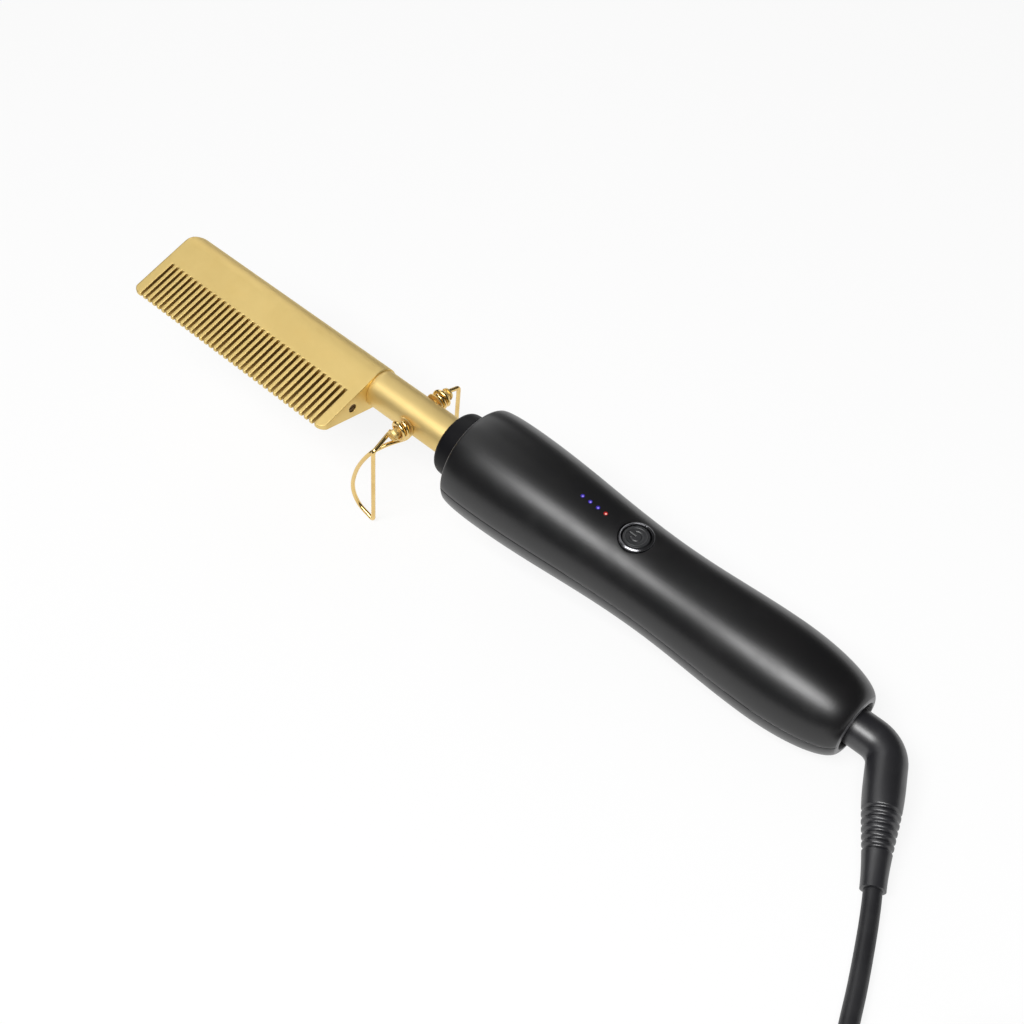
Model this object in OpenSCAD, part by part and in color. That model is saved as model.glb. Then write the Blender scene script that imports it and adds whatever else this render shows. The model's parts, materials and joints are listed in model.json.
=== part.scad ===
// Electric hot comb, resting flat side up on its wire stand and the rear of its handle.
// Sub-parts are drawn along the comb's own axis: x = 0 at the end face of the heated head,
// +x towards the cord, +y away from the teeth, +z out of the flat side with the button.
// The finished comb is then tipped onto the surface it stands on.

/* [Comb head] */
// Length of the heated head
head_length = 99; // [80:1:110]
// Radius of the rounded back
back_radius = 7.2; // [6.9:0.1:8]
// Distance from the tube's axis to the teeth's edge
teeth_reach = 26.5; // [22:0.5:30]
// Thickness of the head at the teeth's edge
edge_thickness = 1.5; // [1.2:0.1:2.5]
// Number of slots between the teeth
slot_count = 36; // [20:1:36]
// Width of a slot
slot_width = 1.1; // [0.8:0.1:1.3]
// Distance from one slot to the next
slot_pitch = 2.56; // [2.2:0.02:2.56]
// Distance from the tube's axis to the slots' inner ends
slot_root = 11; // [10:0.5:14]
// Solid margin between the last slot and the end face
end_margin = 4.6; // [4:0.1:6]
// Radius of the head's corners
corner_radius = 3; // [1:0.5:4]
// Radius of the bore that holds the heating rod
heater_bore_radius = 4.3; // [3.6:0.1:4.6]

/* [Neck tube] */
// Outer radius of the tube
tube_radius = 6.7; // [6.2:0.1:6.8]
// Wall of the tube at its spigot
tube_wall = 0.9; // [0.7:0.1:1.1]
// Length of tube that shows between the head and the collar
neck_show = 35.5; // [32:0.5:42]
// Depth of the turned-down spigot in the head
spigot_depth = 14; // [8:1:20]
// Radius of the spigot
spigot_radius = 5.9; // [5.7:0.1:6]
// Length of tube inside the handle
tube_tail = 16; // [14:1:20]

/* [Wire stand] */
// Thickness of the wire
wire_diameter = 1.5; // [1.2:0.1:1.6]
// Distance from the head's end face to the pivots
pivot_x = 19; // [16:0.5:22]
// Height of the pivots above the tube's axis
pivot_z = 1; // [0:0.25:1.5]
// Mean radius of the wire's turns round each pivot
eye_radius = 2.75; // [2.7:0.05:3.2]
// Distance of each leg from the middle of the tube
leg_spread = 20; // [18:0.5:23]
// Drop of the feet below the pivots
leg_drop = 42; // [36:0.5:46]
// How far the feet stand ahead of the pivots, towards the head
foot_lead = 5.5; // [3:0.5:8]
// How far the bow of each leg bulges towards the head
bow_depth = 15; // [10:0.5:18]

/* [Collar] */
// Length of the collar that shows
collar_show = 9.3; // [7:0.1:12]
// Radius of the collar's front edge
collar_radius = 11.2; // [10:0.1:12]
// Radius where the collar enters the handle
collar_root_radius = 12; // [11:0.1:13]

/* [Handle] */
// Length of the handle
handle_length = 146; // [140:1:160]
// Radius at the front rim
front_radius = 17.2; // [16.5:0.1:18]
// Largest radius, near the front
grip_radius = 18.3; // [17.5:0.1:19.5]
// Radius at the waist
waist_radius = 14.9; // [14.5:0.1:16.5]
// Radius at the rear swelling
heel_radius = 16.1; // [15.5:0.1:17]
// Radius at the rear rim
rear_radius = 8.7; // [8.5:0.1:10]
// Wall of the two shells
shell_wall = 2.2; // [1.8:0.1:2.4]

/* [Power button] */
// Distance from the handle's front to the button
button_offset = 65; // [62:0.5:68]
// Radius of the button cap
button_radius = 4.2; // [3.6:0.1:4.4]
// Width of the ring round the button
bezel_width = 1.15; // [0.8:0.05:1.4]
// Travel of the button
button_travel = 0.5; // [0.3:0.1:0.8]

/* [Status lamps] */
// Distance from the handle's front to the first lamp
lamp_offset = 43.9; // [42:0.1:46]
// Distance between lamps
lamp_pitch = 3.05; // [2.6:0.05:3.2]
// Radius of each lamp's light pipe
lamp_radius = 0.65; // [0.5:0.05:0.8]

/* [Circuit board] */
// Width of the board
board_width = 19; // [16:0.5:20]
// Thickness of the board
board_thickness = 1.6; // [1:0.2:2]

/* [Cord] */
// Diameter of the cord
cord_diameter = 5.2; // [5.2:0.1:5.2]
// Radius of the cord's boot where it leaves the handle
boot_radius = 5.8; // [5:0.1:6]
// Length of the boot's straight neck outside the handle
boot_neck = 10.7; // [8:0.1:12]
// Angle of the boot's elbow
elbow_angle = 61; // [45:1:65]
// Length of the boot past the elbow
boot_length = 36; // [30:1:45]

/* [Hidden] */

fit_gap = 0.05;      // clearance of parts that fit in each other
seat_gap = 0.2;      // clearance of parts that lie beside each other
move_gap = 0.3;      // clearance of parts that pass each other
over = 0.5;          // how far a cut runs past a face

// Places along the axis
collar_x = neck_show;
front_x = collar_x + collar_show;
rear_x = front_x + handle_length;
tube_end_x = front_x + tube_tail;
button_x = front_x + button_offset;
lamp_x = front_x + lamp_offset;
board_x = front_x + 34;
rear_boss_x = rear_x - 34;
boss_radius = 3.7;
board_end_x = rear_boss_x - boss_radius - 2.3;

// ---- Points, sweeps and curves ----
function unit(v) = v / norm(v);
function mix(a, b, t) = a + (b - a) * t;
function ease(t) = (1 - cos(180 * t)) / 2;
function bulge(t) = 1 - sqrt(max(0, 1 - t * t));
function last(list) = list[len(list) - 1];
function flip_y(list) = [for (i = [len(list) - 1:-1:0]) [list[i].x, -list[i].y, list[i].z]];

// Tangent of a path at each of its points
function tangents(path) = [for (i = [0:len(path) - 1])
    unit(path[min(i + 1, len(path) - 1)] - path[max(i - 1, 0)])];

// Part of v that is square to t
function square_to(v, t) = unit(v - (v * t) * t);

// Side directions carried along a path without twisting
function carried(tans, first) = [for (i = 0, s = square_to(first, tans[0]); i < len(tans);
    i = i + 1, s = i < len(tans) ? square_to(s, tans[i]) : s) s];

// Tube of one radius, or of a list of radii, along a path
module tube_along(path, radius, sides, first = [0, 0, 1]) {
    tans = tangents(path);
    sideways = carried(tans, first);
    rings = len(path);
    points = [for (i = [0:rings - 1]) let (u = sideways[i], v = cross(tans[i], u),
        r = is_list(radius) ? radius[i] : radius)
        for (k = [0:sides - 1]) path[i] + r * (cos(360 * k / sides) * u + sin(360 * k / sides) * v)];
    skin = [for (i = [0:rings - 2], k = [0:sides - 1]) let (a = i * sides + k,
        b = i * sides + (k + 1) % sides)
        each [[a, a + sides, b], [b, a + sides, b + sides]]];
    caps = [[for (k = [0:sides - 1]) k], [for (k = [sides - 1:-1:0]) (rings - 1) * sides + k]];
    polyhedron(points, concat(skin, caps), convexity = 10);
}

// Corners of a bent wire, each rounded over a length of reach
function bent(points, reach, steps = 4) = concat([points[0]],
    [for (i = [1:len(points) - 2])
        let (p = points[i], a = p + reach * unit(points[i - 1] - p),
            b = p + reach * unit(points[i + 1] - p))
        for (s = [0:steps]) let (t = s / steps) mix(mix(a, p, t), mix(p, b, t), t)],
    [last(points)]);

// Cubic curve between two points with the given handles
function cubic(a, b, c, d, t) = pow(1 - t, 3) * a + 3 * t * pow(1 - t, 2) * b
    + 3 * t * t * (1 - t) * c + t * t * t * d;

// Smooth curve through a list of points
function spline_point(p, i, t) = let (a = p[max(i - 1, 0)], b = p[i], c = p[i + 1],
    d = p[min(i + 2, len(p) - 1)])
    cubic(b, b + (c - a) / 6, c - (d - b) / 6, c, t);
function smooth(p, steps) = concat([for (i = [0:len(p) - 2], s = [0:steps - 1])
    spline_point(p, i, s / steps)], [last(p)]);

// ---- Handle's outline ----
grip_x = front_x + 11;
waist_x = front_x + 78;
heel_x = rear_x - 29;
function handle_radius(x) =
    x < grip_x ? grip_radius - (grip_radius - front_radius) * bulge((grip_x - x) / (grip_x - front_x))
    : x < waist_x ? mix(grip_radius, waist_radius, ease((x - grip_x) / (waist_x - grip_x)))
    : x < heel_x ? mix(waist_radius, heel_radius, ease((x - waist_x) / (heel_x - waist_x)))
    : heel_radius - (heel_radius - rear_radius) * bulge(min(1, (x - heel_x) / (rear_x - heel_x)));
handle_stations = [for (x = [front_x:3:rear_x - 6]) x];
tail_stations = [for (a = [70:5:90]) heel_x + (rear_x - heel_x) * sin(a)];
outline_x = concat([for (x = handle_stations) if (x < tail_stations[0] - 1) x], tail_stations);

// ---- How the comb stands ----
// The feet and the lowest line of the handle touch the surface: the tip angle is found by steps.
foot_x = pivot_x - foot_lead;
foot_z = pivot_z - leg_drop;
function heel_low(tip) = min([for (x = outline_x) -x * sin(tip) - handle_radius(x) * cos(tip)]);
function foot_low(tip) = -foot_x * sin(tip) + foot_z * cos(tip) - wire_diameter / 2;
function settle(tip, n) = n == 0 ? tip
    : settle(tip + (heel_low(tip) - foot_low(tip)) / (rear_x - foot_x) * 180 / PI, n - 1);
tip_angle = settle(9, 8);
back_low = (-head_length) * cos(tip_angle) - back_radius * sin(tip_angle);
rear_far = max([for (x = outline_x) x * cos(tip_angle) + handle_radius(x) * sin(tip_angle)]);
mid_x = (back_low + rear_far) / 2;
mid_y = (leg_spread + wire_diameter / 2 - teeth_reach) / 2;
stand_lift = -foot_low(tip_angle);
module standing() {
    translate([-mid_x, -mid_y, stand_lift])
        rotate([0, tip_angle, 0])
            children();
}
function stood(p) = [p.x * cos(tip_angle) + p.z * sin(tip_angle) - mid_x, p.y - mid_y,
    p.z * cos(tip_angle) - p.x * sin(tip_angle) + stand_lift];

// Cylinder along +x from x = a to x = b
module rod(a, b, r, y = 0, z = 0) {
    translate([a, y, z])
        rotate([0, 90, 0])
            cylinder(r = r, h = b - a);
}

// Outline turned round the axis; points are [place along the axis, radius]
module turned(points) {
    rotate([0, 90, 0])
        rotate([0, 0, 180])
            rotate_extrude($fn = 96)
                polygon([for (p = points) [p[1], p[0]]]);
}

// ---- Comb head ----
// The flat sides leave the round back at the tangent that meets the teeth's edge.
edge_half = edge_thickness / 2;
edge_far = norm([teeth_reach, edge_half]);
flat_turn = atan2(edge_half, -teeth_reach) - acos(back_radius / edge_far);
flat_start = back_radius * [cos(flat_turn), sin(flat_turn)];
flat_slope = (flat_start.y - edge_half) / (flat_start.x + teeth_reach);
function flat_height(y) = edge_half + flat_slope * (y + teeth_reach);
screw_y = -12.8;
end_screw_radius = 1.5;
end_screw_depth = 2.4;
heater_depth = head_length - 12;
slots_start = -end_margin - (slot_count - 1) * slot_pitch;

module comb_head() {
    color("goldenrod")
        standing()
            difference() {
                intersection() {
                    rotate([0, -90, 0])
                        linear_extrude(head_length)
                            head_section();
                    translate([0, 0, -20])
                        linear_extrude(40)
                            head_plan();
                }
                for (i = [0:slot_count - 1])
                    translate([slots_start + i * slot_pitch - slot_width / 2, -teeth_reach - over, -10])
                        cube([slot_width, teeth_reach - slot_root + over, 20]);
                rod(-spigot_depth - fit_gap, over, spigot_radius + fit_gap, $fn = 64);
                rod(-heater_depth, 0, heater_bore_radius, $fn = 64);
                rod(-end_screw_depth - 0.6, over, end_screw_radius + fit_gap, screw_y, $fn = 32);
            }
}
// Section across the head: first coordinate is height, second is y
module head_section() {
    union() {
        circle(r = back_radius, $fn = 96);
        polygon([[flat_start.y, flat_start.x], [edge_half, -teeth_reach],
            [-edge_half, -teeth_reach], [-flat_start.y, flat_start.x]]);
    }
}
// Outline seen from the flat side, with its corners rounded
module head_plan() {
    hull() {
        for (x = [-head_length + corner_radius, -corner_radius])
            translate([x, -teeth_reach + corner_radius])
                circle(r = corner_radius, $fn = 32);
        translate([-head_length + corner_radius, back_radius - corner_radius])
            circle(r = corner_radius, $fn = 32);
        translate([-1, -teeth_reach / 2])
            square([1, teeth_reach / 2 + back_radius]);
    }
}
module end_screw() {
    color("darkgoldenrod")
        standing()
            difference() {
                rod(-end_screw_depth, -0.4, end_screw_radius, screw_y, $fn = 32);
                translate([-1, screw_y - 1.1, -0.25])
                    cube([2, 2.2, 0.5]);
            }
}

// ---- Inside the head and the tube ----
rod_radius = heater_bore_radius - fit_gap;
rod_start = -heater_depth + 1;
rod_end = -spigot_depth - 4;
lead_radius = 0.7;
lead_y = 1.6;
bead_radius = 0.9;
lead_end_x = board_x - seat_gap;
module heating_rod() {
    color("whitesmoke")
        standing()
            rod(rod_start, rod_end, rod_radius, $fn = 64);
}
module heater_leads() {
    color("white")
        standing()
            for (side = [-1, 1])
                rod(rod_end, lead_end_x, lead_radius, side * lead_y, $fn = 24);
}
sensor_x = -spigot_depth + 3;
module heat_sensor() {
    color("orangered")
        standing()
            union() {
                rod(rod_end, sensor_x, bead_radius, 0, 2.1, $fn = 24);
                rod(sensor_x - 0.1, lead_end_x, 0.3, 0, 2.1, $fn = 16);
            }
}
fuse_x = 4;
fuse_length = 10;
module thermal_fuse() {
    color("silver")
        standing()
            union() {
                rod(rod_end, fuse_x + 0.1, 0.35, 0, -2.2, $fn = 16);
                rod(fuse_x, fuse_x + fuse_length, 1.3, 0, -2.2, $fn = 32);
                rod(fuse_x + fuse_length - 0.1, lead_end_x, 0.35, 0, -2.2, $fn = 16);
            }
}
tube_bore = spigot_radius - tube_wall;
sleeve_radius = tube_bore - seat_gap;
sleeve_bore = 3.9;
module insulating_sleeve() {
    color("ivory")
        standing()
            difference() {
                rod(-spigot_depth + 1, tube_end_x + 4, sleeve_radius, $fn = 48);
                rod(-spigot_depth, tube_end_x + 5, sleeve_bore, $fn = 48);
            }
}

// ---- Neck tube and wire stand ----
screw_radius = 1.2;
shoulder_radius = eye_radius - wire_diameter / 2 - move_gap;
washer_thickness = 0.4;
eye_gap = 0.2;
eye_pitch = wire_diameter + eye_gap;
eye_turns = 2;
eye_start = tube_radius + washer_thickness + wire_diameter / 2 + move_gap;
eye_end = eye_start + eye_turns * eye_pitch;
shoulder_end = eye_end + wire_diameter / 2 + move_gap;
pivot_head_radius = eye_radius - 0.5;
pivot_head_height = 0.8;
module neck_tube() {
    color("gold")
        standing()
            difference() {
                union() {
                    rod(0, tube_end_x, tube_radius, $fn = 96);
                    rod(-spigot_depth, over, spigot_radius, $fn = 96);
                }
                rod(-spigot_depth - over, tube_end_x + over, tube_bore, $fn = 96);
                translate([pivot_x, 0, pivot_z])
                    rotate([90, 0, 0])
                        cylinder(r = screw_radius + fit_gap, h = 4 * tube_radius, center = true, $fn = 32);
            }
}
module stand_washers() {
    color("gold")
        standing()
            for (side = [-1, 1])
                translate([pivot_x, side * (tube_radius + 0.05), pivot_z])
                    rotate([-90 * side, 0, 0])
                        difference() {
                            cylinder(r = eye_radius + wire_diameter / 2, h = washer_thickness, $fn = 48);
                            translate([0, 0, -over])
                                cylinder(r = screw_radius + fit_gap, h = washer_thickness + 1, $fn = 32);
                        }
}
module stand_screws() {
    color("goldenrod")
        standing()
            for (side = [-1, 1])
                translate([pivot_x, 0, pivot_z])
                    rotate([-90 * side, 0, 0])
                        difference() {
                            union() {
                                translate([0, 0, tube_bore + 0.1])
                                    cylinder(r = screw_radius, h = tube_radius + 1 - tube_bore, $fn = 32);
                                translate([0, 0, tube_radius + washer_thickness + 0.1])
                                    cylinder(r = shoulder_radius,
                                        h = shoulder_end - tube_radius - washer_thickness - 0.1, $fn = 48);
                                translate([0, 0, shoulder_end - 0.1])
                                    cylinder(r1 = pivot_head_radius, r2 = pivot_head_radius - 0.3,
                                        h = pivot_head_height, $fn = 48);
                            }
                            translate([-3, -0.3, shoulder_end + 0.3])
                                cube([6, 0.6, 2]);
                        }
}

// Wire of one side: turns round the pivot, arm out to the knee, leg to the foot, round bow back
// up inside the knee and across under the tube. All points are measured from the pivot axis.
bar_stop = tube_radius + wire_diameter / 2 + 0.1 + pivot_z;
bar_lead = 2;
knee = [-2, -leg_spread, -3.8];
foot = [-foot_lead, -leg_spread, -leg_drop];
bow_foot = foot + [-2.6, 0.2, 0.5];
module stand_wire() {
    turns = [for (a = [0:22.5:360 * eye_turns - 135])
        [eye_radius * sin(a), -eye_start - eye_pitch * a / 360, eye_radius * cos(a)]];
    leave = last(turns);
    leg = bent([leave, leave + [-0.9, -0.6, 0.3], knee, foot + [0, 0, 1], foot + [-0.9, 0.1, 0],
        bow_foot], 0.55, 3);
    inward = leg_spread - 20;
    bow = smooth([bow_foot, [-bow_depth + 2.9, -19.9 - inward, -39.4], [-bow_depth + 0.7, -20 - inward, -35.2],
        [-bow_depth + 0.4, -20 - inward, -30.3], [-bow_depth + 1.5, -19.9 - inward, -25.2],
        [-bow_depth + 3.9, -19.7 - inward, -18.7], [-7.8, -19.1 - inward, -12.2], [-4.8, -17.7 - inward, -7.5],
        [-3, -15, -5.9], [-1.8, -12, -5.6], [-1.1, -9, -6.3], [-1.3, -6, -7.8], [-bar_lead, -3, -bar_stop],
        [-bar_lead, 0, -bar_stop]], 3);
    half = concat(turns, [for (i = [1:len(leg) - 2]) leg[i]], bow);
    wire = concat(half, [for (i = [1:len(half) - 1]) flip_y(half)[i]]);
    color("khaki")
        standing()
            translate([pivot_x, 0, pivot_z])
                tube_along(wire, wire_diameter / 2, 8, [1, 0, 0]);
}

// ---- Collar, flange and handle shells ----
collar_bore = tube_radius + fit_gap;
front_wall = 2.4;
rib_width = 1.4;
flange_x = front_x + 6;
flange_thickness = 2;
flange_radius = 14.6;
flange_sleeve = 7;
module collar() {
    color("dimgray")
        standing()
            turned([[collar_x, collar_bore], [collar_x, collar_radius - 1], [collar_x + 0.3, collar_radius - 0.3],
                [collar_x + 1, collar_radius], [front_x, collar_root_radius],
                [front_x + front_wall + seat_gap, collar_root_radius],
                [front_x + front_wall + seat_gap, collar_root_radius + 1.4],
                [flange_x - 0.1, collar_root_radius + 1.4], [flange_x - 0.1, collar_bore]]);
}
module neck_flange() {
    color("silver")
        standing()
            difference() {
                union() {
                    rod(flange_x, flange_x + flange_thickness, flange_radius, $fn = 96);
                    rod(flange_x, flange_x + flange_sleeve, tube_radius + 1.8, $fn = 64);
                }
                rod(flange_x - over, flange_x + flange_sleeve + over, tube_radius + 0.03, $fn = 96);
            }
}
socket_radius = 7.6;
socket_end_x = rear_x - 3;
socket_rib_x = rear_x - 22;
rear_hole = boot_radius + move_gap;
boss_y = 9;
front_boss_x = front_x + 22;
bosses = [[front_boss_x, -boss_y], [front_boss_x, boss_y], [rear_boss_x, 0]];
shell_screw_radius = 1.3;
screw_sink_radius = 2.7;
screw_sink_z = -8;
screw_bite = 6.9;
screw_head_height = 1.95;
cut_depth = 2 * grip_radius;
inner_x = concat([front_x + front_wall], [for (x = outline_x)
    if (x > front_x + front_wall + 1 && x < rear_x - 3.5) x], [rear_x - 3]);
// Height at which a boss is sunk in the shell's wall
function boss_reach(b) = sqrt(pow(handle_radius(b.x) - 0.6, 2) - pow(abs(b.y) + boss_radius, 2));
// Both shells together, before they are split at the seam
module handle_body() {
    difference() {
        union() {
            difference() {
                turned(concat([[front_x, collar_root_radius + fit_gap]],
                    [for (x = outline_x) [x, handle_radius(x)]],
                    [[rear_x, rear_hole]]));
                turned(concat([[front_x + front_wall, 0]],
                    [for (x = inner_x) [x, handle_radius(x) - shell_wall]],
                    [[rear_x - 3, 0]]));
            }
            for (x = [flange_x - rib_width - seat_gap, flange_x + flange_thickness + seat_gap])
                turned([[x, flange_radius - 1], [x, handle_radius(x) - 1],
                    [x + rib_width, handle_radius(x) - 1], [x + rib_width, flange_radius - 1]]);
            turned([[socket_rib_x, socket_radius + fit_gap], [socket_rib_x, handle_radius(socket_rib_x) - 1],
                [socket_rib_x + rib_width, handle_radius(socket_rib_x + rib_width) - 1],
                [socket_rib_x + rib_width, socket_radius + fit_gap]]);
            for (b = bosses)
                translate([b.x, b.y, 0])
                    cylinder(r = boss_radius, h = 2 * boss_reach(b), center = true, $fn = 48);
        }
        rod(rear_x - 4, rear_x + over, rear_hole, $fn = 64);
    }
}
module half_space(side) {
    translate([front_x - 1, -40, side > 0 ? 0 : -80])
        cube([handle_length + 2, 80, 80]);
}
module handle_top() {
    color("#2b2b2d")
        standing()
            difference() {
                intersection() {
                    handle_body();
                    half_space(1);
                }
                for (b = bosses)
                    translate([b.x, b.y, -over])
                        cylinder(r = shell_screw_radius - 0.1, h = screw_bite + over + 0.6, $fn = 32);
                translate([button_x, 0, 5])
                    cylinder(r = bezel_radius + fit_gap, h = 20, $fn = 64);
                for (i = [0:3])
                    translate([lamp_x + i * lamp_pitch, 0, 5])
                        cylinder(r = lamp_radius + fit_gap, h = 20, $fn = 32);
            }
}
module handle_bottom() {
    color("#252527")
        standing()
            difference() {
                intersection() {
                    handle_body();
                    half_space(-1);
                }
                for (b = bosses) {
                    translate([b.x, b.y, -cut_depth])
                        cylinder(r = shell_screw_radius + fit_gap, h = cut_depth + over, $fn = 32);
                    translate([b.x, b.y, -cut_depth])
                        cylinder(r = screw_sink_radius, h = cut_depth + screw_sink_z, $fn = 32);
                }
            }
}
module shell_screws() {
    color("silver")
        standing()
            for (b = bosses)
                translate([b.x, b.y, 0])
                    union() {
                        translate([0, 0, screw_sink_z - 0.1])
                            cylinder(r = shell_screw_radius - 0.15, h = screw_bite - screw_sink_z, $fn = 32);
                        translate([0, 0, screw_sink_z - fit_gap - screw_head_height])
                            cylinder(r = screw_sink_radius - 0.3, h = screw_head_height, $fn = 32);
                    }
}

// ---- Circuit board and what is on it ----
board_top = 1.5;
board_low = board_top - board_thickness;
board_hole_inset = 4;
board_hole_x = [board_x + board_hole_inset, board_end_x - board_hole_inset];
board_hole_y = board_width / 2 - 2.5;
board_hole_radius = 1.1;
rest_radius = 1.9;
board_screw_head = 1.2;
module circuit_board() {
    color("seagreen")
        standing()
            difference() {
                translate([board_x, -board_width / 2, board_low])
                    cube([board_end_x - board_x, board_width, board_thickness]);
                for (x = board_hole_x)
                    translate([x, board_hole_y, board_low - over])
                        cylinder(r = board_hole_radius, h = board_thickness + 2 * over, $fn = 32);
            }
}
// Screws with long shanks that stand the board off the lower shell
module board_screws() {
    color("silver")
        standing()
            for (x = board_hole_x) {
                floor_z = -sqrt(pow(handle_radius(x) - shell_wall, 2) - pow(board_hole_y + rest_radius, 2));
                translate([x, board_hole_y, 0])
                    union() {
                        translate([0, 0, floor_z + seat_gap])
                            cylinder(r = rest_radius, h = board_low - floor_z - 2 * seat_gap + 0.15, $fn = 32);
                        translate([0, 0, board_low - over])
                            cylinder(r = board_hole_radius - fit_gap, h = board_thickness + 2 * over, $fn = 32);
                        translate([0, 0, board_top + fit_gap])
                            cylinder(r = rest_radius, h = board_screw_head, $fn = 32);
                    }
            }
}
module board_block(x, y, size, below = false) {
    translate([board_x + x, y - size.y / 2, below ? board_low - size.z : board_top])
        cube(size);
}
module control_chip() {
    color("#202024")
        standing()
            board_block(button_x + 11 - board_x, -1, [8, 6, 1.6]);
}
module triac() {
    color("#303034")
        standing()
            union() {
                board_block(6, -3, [10, 9, 4.4], true);
                board_block(15.9, -3, [5, 9, 1.3], true);
            }
}
module filter_capacitor() {
    color("darkorange")
        standing()
            board_block(board_end_x - board_x - 22, -2, [14, 7, 8], true);
}
resistor_y = 4.6;
module supply_resistor() {
    color("tan")
        standing()
            union() {
                translate([board_x + 27, resistor_y, board_low - 2.2])
                    rotate([0, 90, 0])
                        cylinder(r = 1.9, h = 10, $fn = 32);
                for (x = [28, 35])
                    board_block(x, resistor_y, [0.8, 0.8, 1.2], true);
            }
}
led_height = 1.1;
module status_leds() {
    color("white")
        standing()
            for (i = [0:3])
                translate([lamp_x + i * lamp_pitch - 0.8, -0.8, board_top])
                    cube([1.6, 1.6, led_height]);
}
module light_pipe(i) {
    x = lamp_x + i * lamp_pitch;
    translate([x, 0, board_top + led_height + seat_gap])
        cylinder(r = lamp_radius, h = handle_radius(x) - board_top - led_height - seat_gap + 0.05, $fn = 32);
}
module blue_lamps() {
    color("royalblue")
        standing()
            for (i = [0:2])
                light_pipe(i);
}
module red_lamp() {
    color("red")
        standing()
            light_pipe(3);
}

// ---- Power button ----
crown = handle_radius(button_x);
bezel_radius = button_radius + move_gap + bezel_width - 0.1;
bezel_top = crown + 0.35;
bezel_low = crown - shell_wall - 2.9;
housing_size = [6, 6, 3.6];
housing_top = board_top + housing_size.z;
plunger_radius = 1.7;
plunger_top = housing_top + 0.9;
cap_flange_top = bezel_low - 0.1;
module button_bezel() {
    color("gray")
        standing()
            translate([button_x, 0, 0])
                difference() {
                    union() {
                        translate([0, 0, bezel_low])
                            cylinder(r = bezel_radius, h = bezel_top - bezel_low, $fn = 96);
                        translate([0, 0, bezel_low])
                            cylinder(r = bezel_radius + 0.9, h = 1, $fn = 96);
                    }
                    translate([0, 0, bezel_low - over])
                        cylinder(r = button_radius + 0.15, h = 10, $fn = 96);
                }
}
module button_cap() {
    color("#1c1c1e")
        standing()
            translate([button_x, 0, 0])
                difference() {
                    union() {
                        translate([0, 0, plunger_top])
                            cylinder(r = 1.5, h = cap_flange_top - plunger_top, $fn = 32);
                        translate([0, 0, cap_flange_top - 1])
                            cylinder(r = button_radius + 0.7, h = 1, $fn = 64);
                        translate([0, 0, cap_flange_top - 1])
                            cylinder(r = button_radius, h = bezel_top + 0.75 - cap_flange_top, $fn = 64);
                    }
                    translate([0, 0, bezel_top - 0.45])
                        power_mark();
                }
}
// Broken ring and bar sunk in the top of the cap
module power_mark() {
    rotate([0, 0, 220])
        rotate_extrude(angle = 280, $fn = 64)
            translate([1.6, 0])
                square([0.4, 1]);
    translate([-2.4, -0.2, 0])
        cube([1.9, 0.4, 1]);
}
module switch_housing() {
    color("#3a3a3c")
        standing()
            difference() {
                translate([button_x - housing_size.x / 2, -housing_size.y / 2, board_top])
                    cube(housing_size);
                translate([button_x, 0, board_top + 0.8])
                    cylinder(r = plunger_radius + 0.1, h = 5, $fn = 48);
            }
}
module switch_plunger() {
    color("lightgray")
        standing()
            translate([button_x, 0, board_top + 0.8 + button_travel + 0.2])
                cylinder(r = plunger_radius, h = plunger_top - board_top - 1 - button_travel, $fn = 48);
}

// ---- Mains side: leads, swivel socket and the core that turns in it ----
socket_x = rear_x - 24;
core_radius = 4.4;
core_bore = core_radius + 0.1;
ring_x = [socket_x + 6, socket_x + 13];
ring_width = 3;
module mains_leads() {
    color("saddlebrown")
        standing()
            for (side = [-1, 1])
                rod(board_end_x - 0.2, socket_x, 0.9, side * 5.2, board_top + 1.1, $fn = 24);
}
module swivel_socket() {
    color("#e8e2d0")
        standing()
            difference() {
                rod(socket_x, socket_end_x - seat_gap, socket_radius, $fn = 64);
                rod(socket_x + 2, rear_x, core_bore, $fn = 64);
                for (x = ring_x)
                    rod(x - 0.1, x + ring_width + 0.1, socket_radius - 1.2, $fn = 64);
            }
}
module contact_springs() {
    color("peru")
        standing()
            for (x = ring_x)
                difference() {
                    rod(x, x + ring_width, socket_radius - 1.25, $fn = 64);
                    rod(x - over, x + ring_width + over, core_radius + 0.25, $fn = 64);
                }
}
module swivel_core() {
    color("#333336")
        standing()
            difference() {
                rod(socket_x + 2.3, rear_x - 2.5, core_radius, $fn = 64);
                for (x = ring_x)
                    difference() {
                        rod(x + 0.1, x + ring_width - 0.1, core_radius + 1, $fn = 64);
                        rod(x, x + ring_width, core_radius - 1, $fn = 64);
                    }
            }
}
module slip_rings() {
    color("goldenrod")
        standing()
            for (x = ring_x)
                difference() {
                    rod(x + 0.15, x + ring_width - 0.15, core_radius + 0.05, $fn = 64);
                    rod(x - over, x + ring_width + over, core_radius - 0.95, $fn = 64);
                }
}

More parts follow.
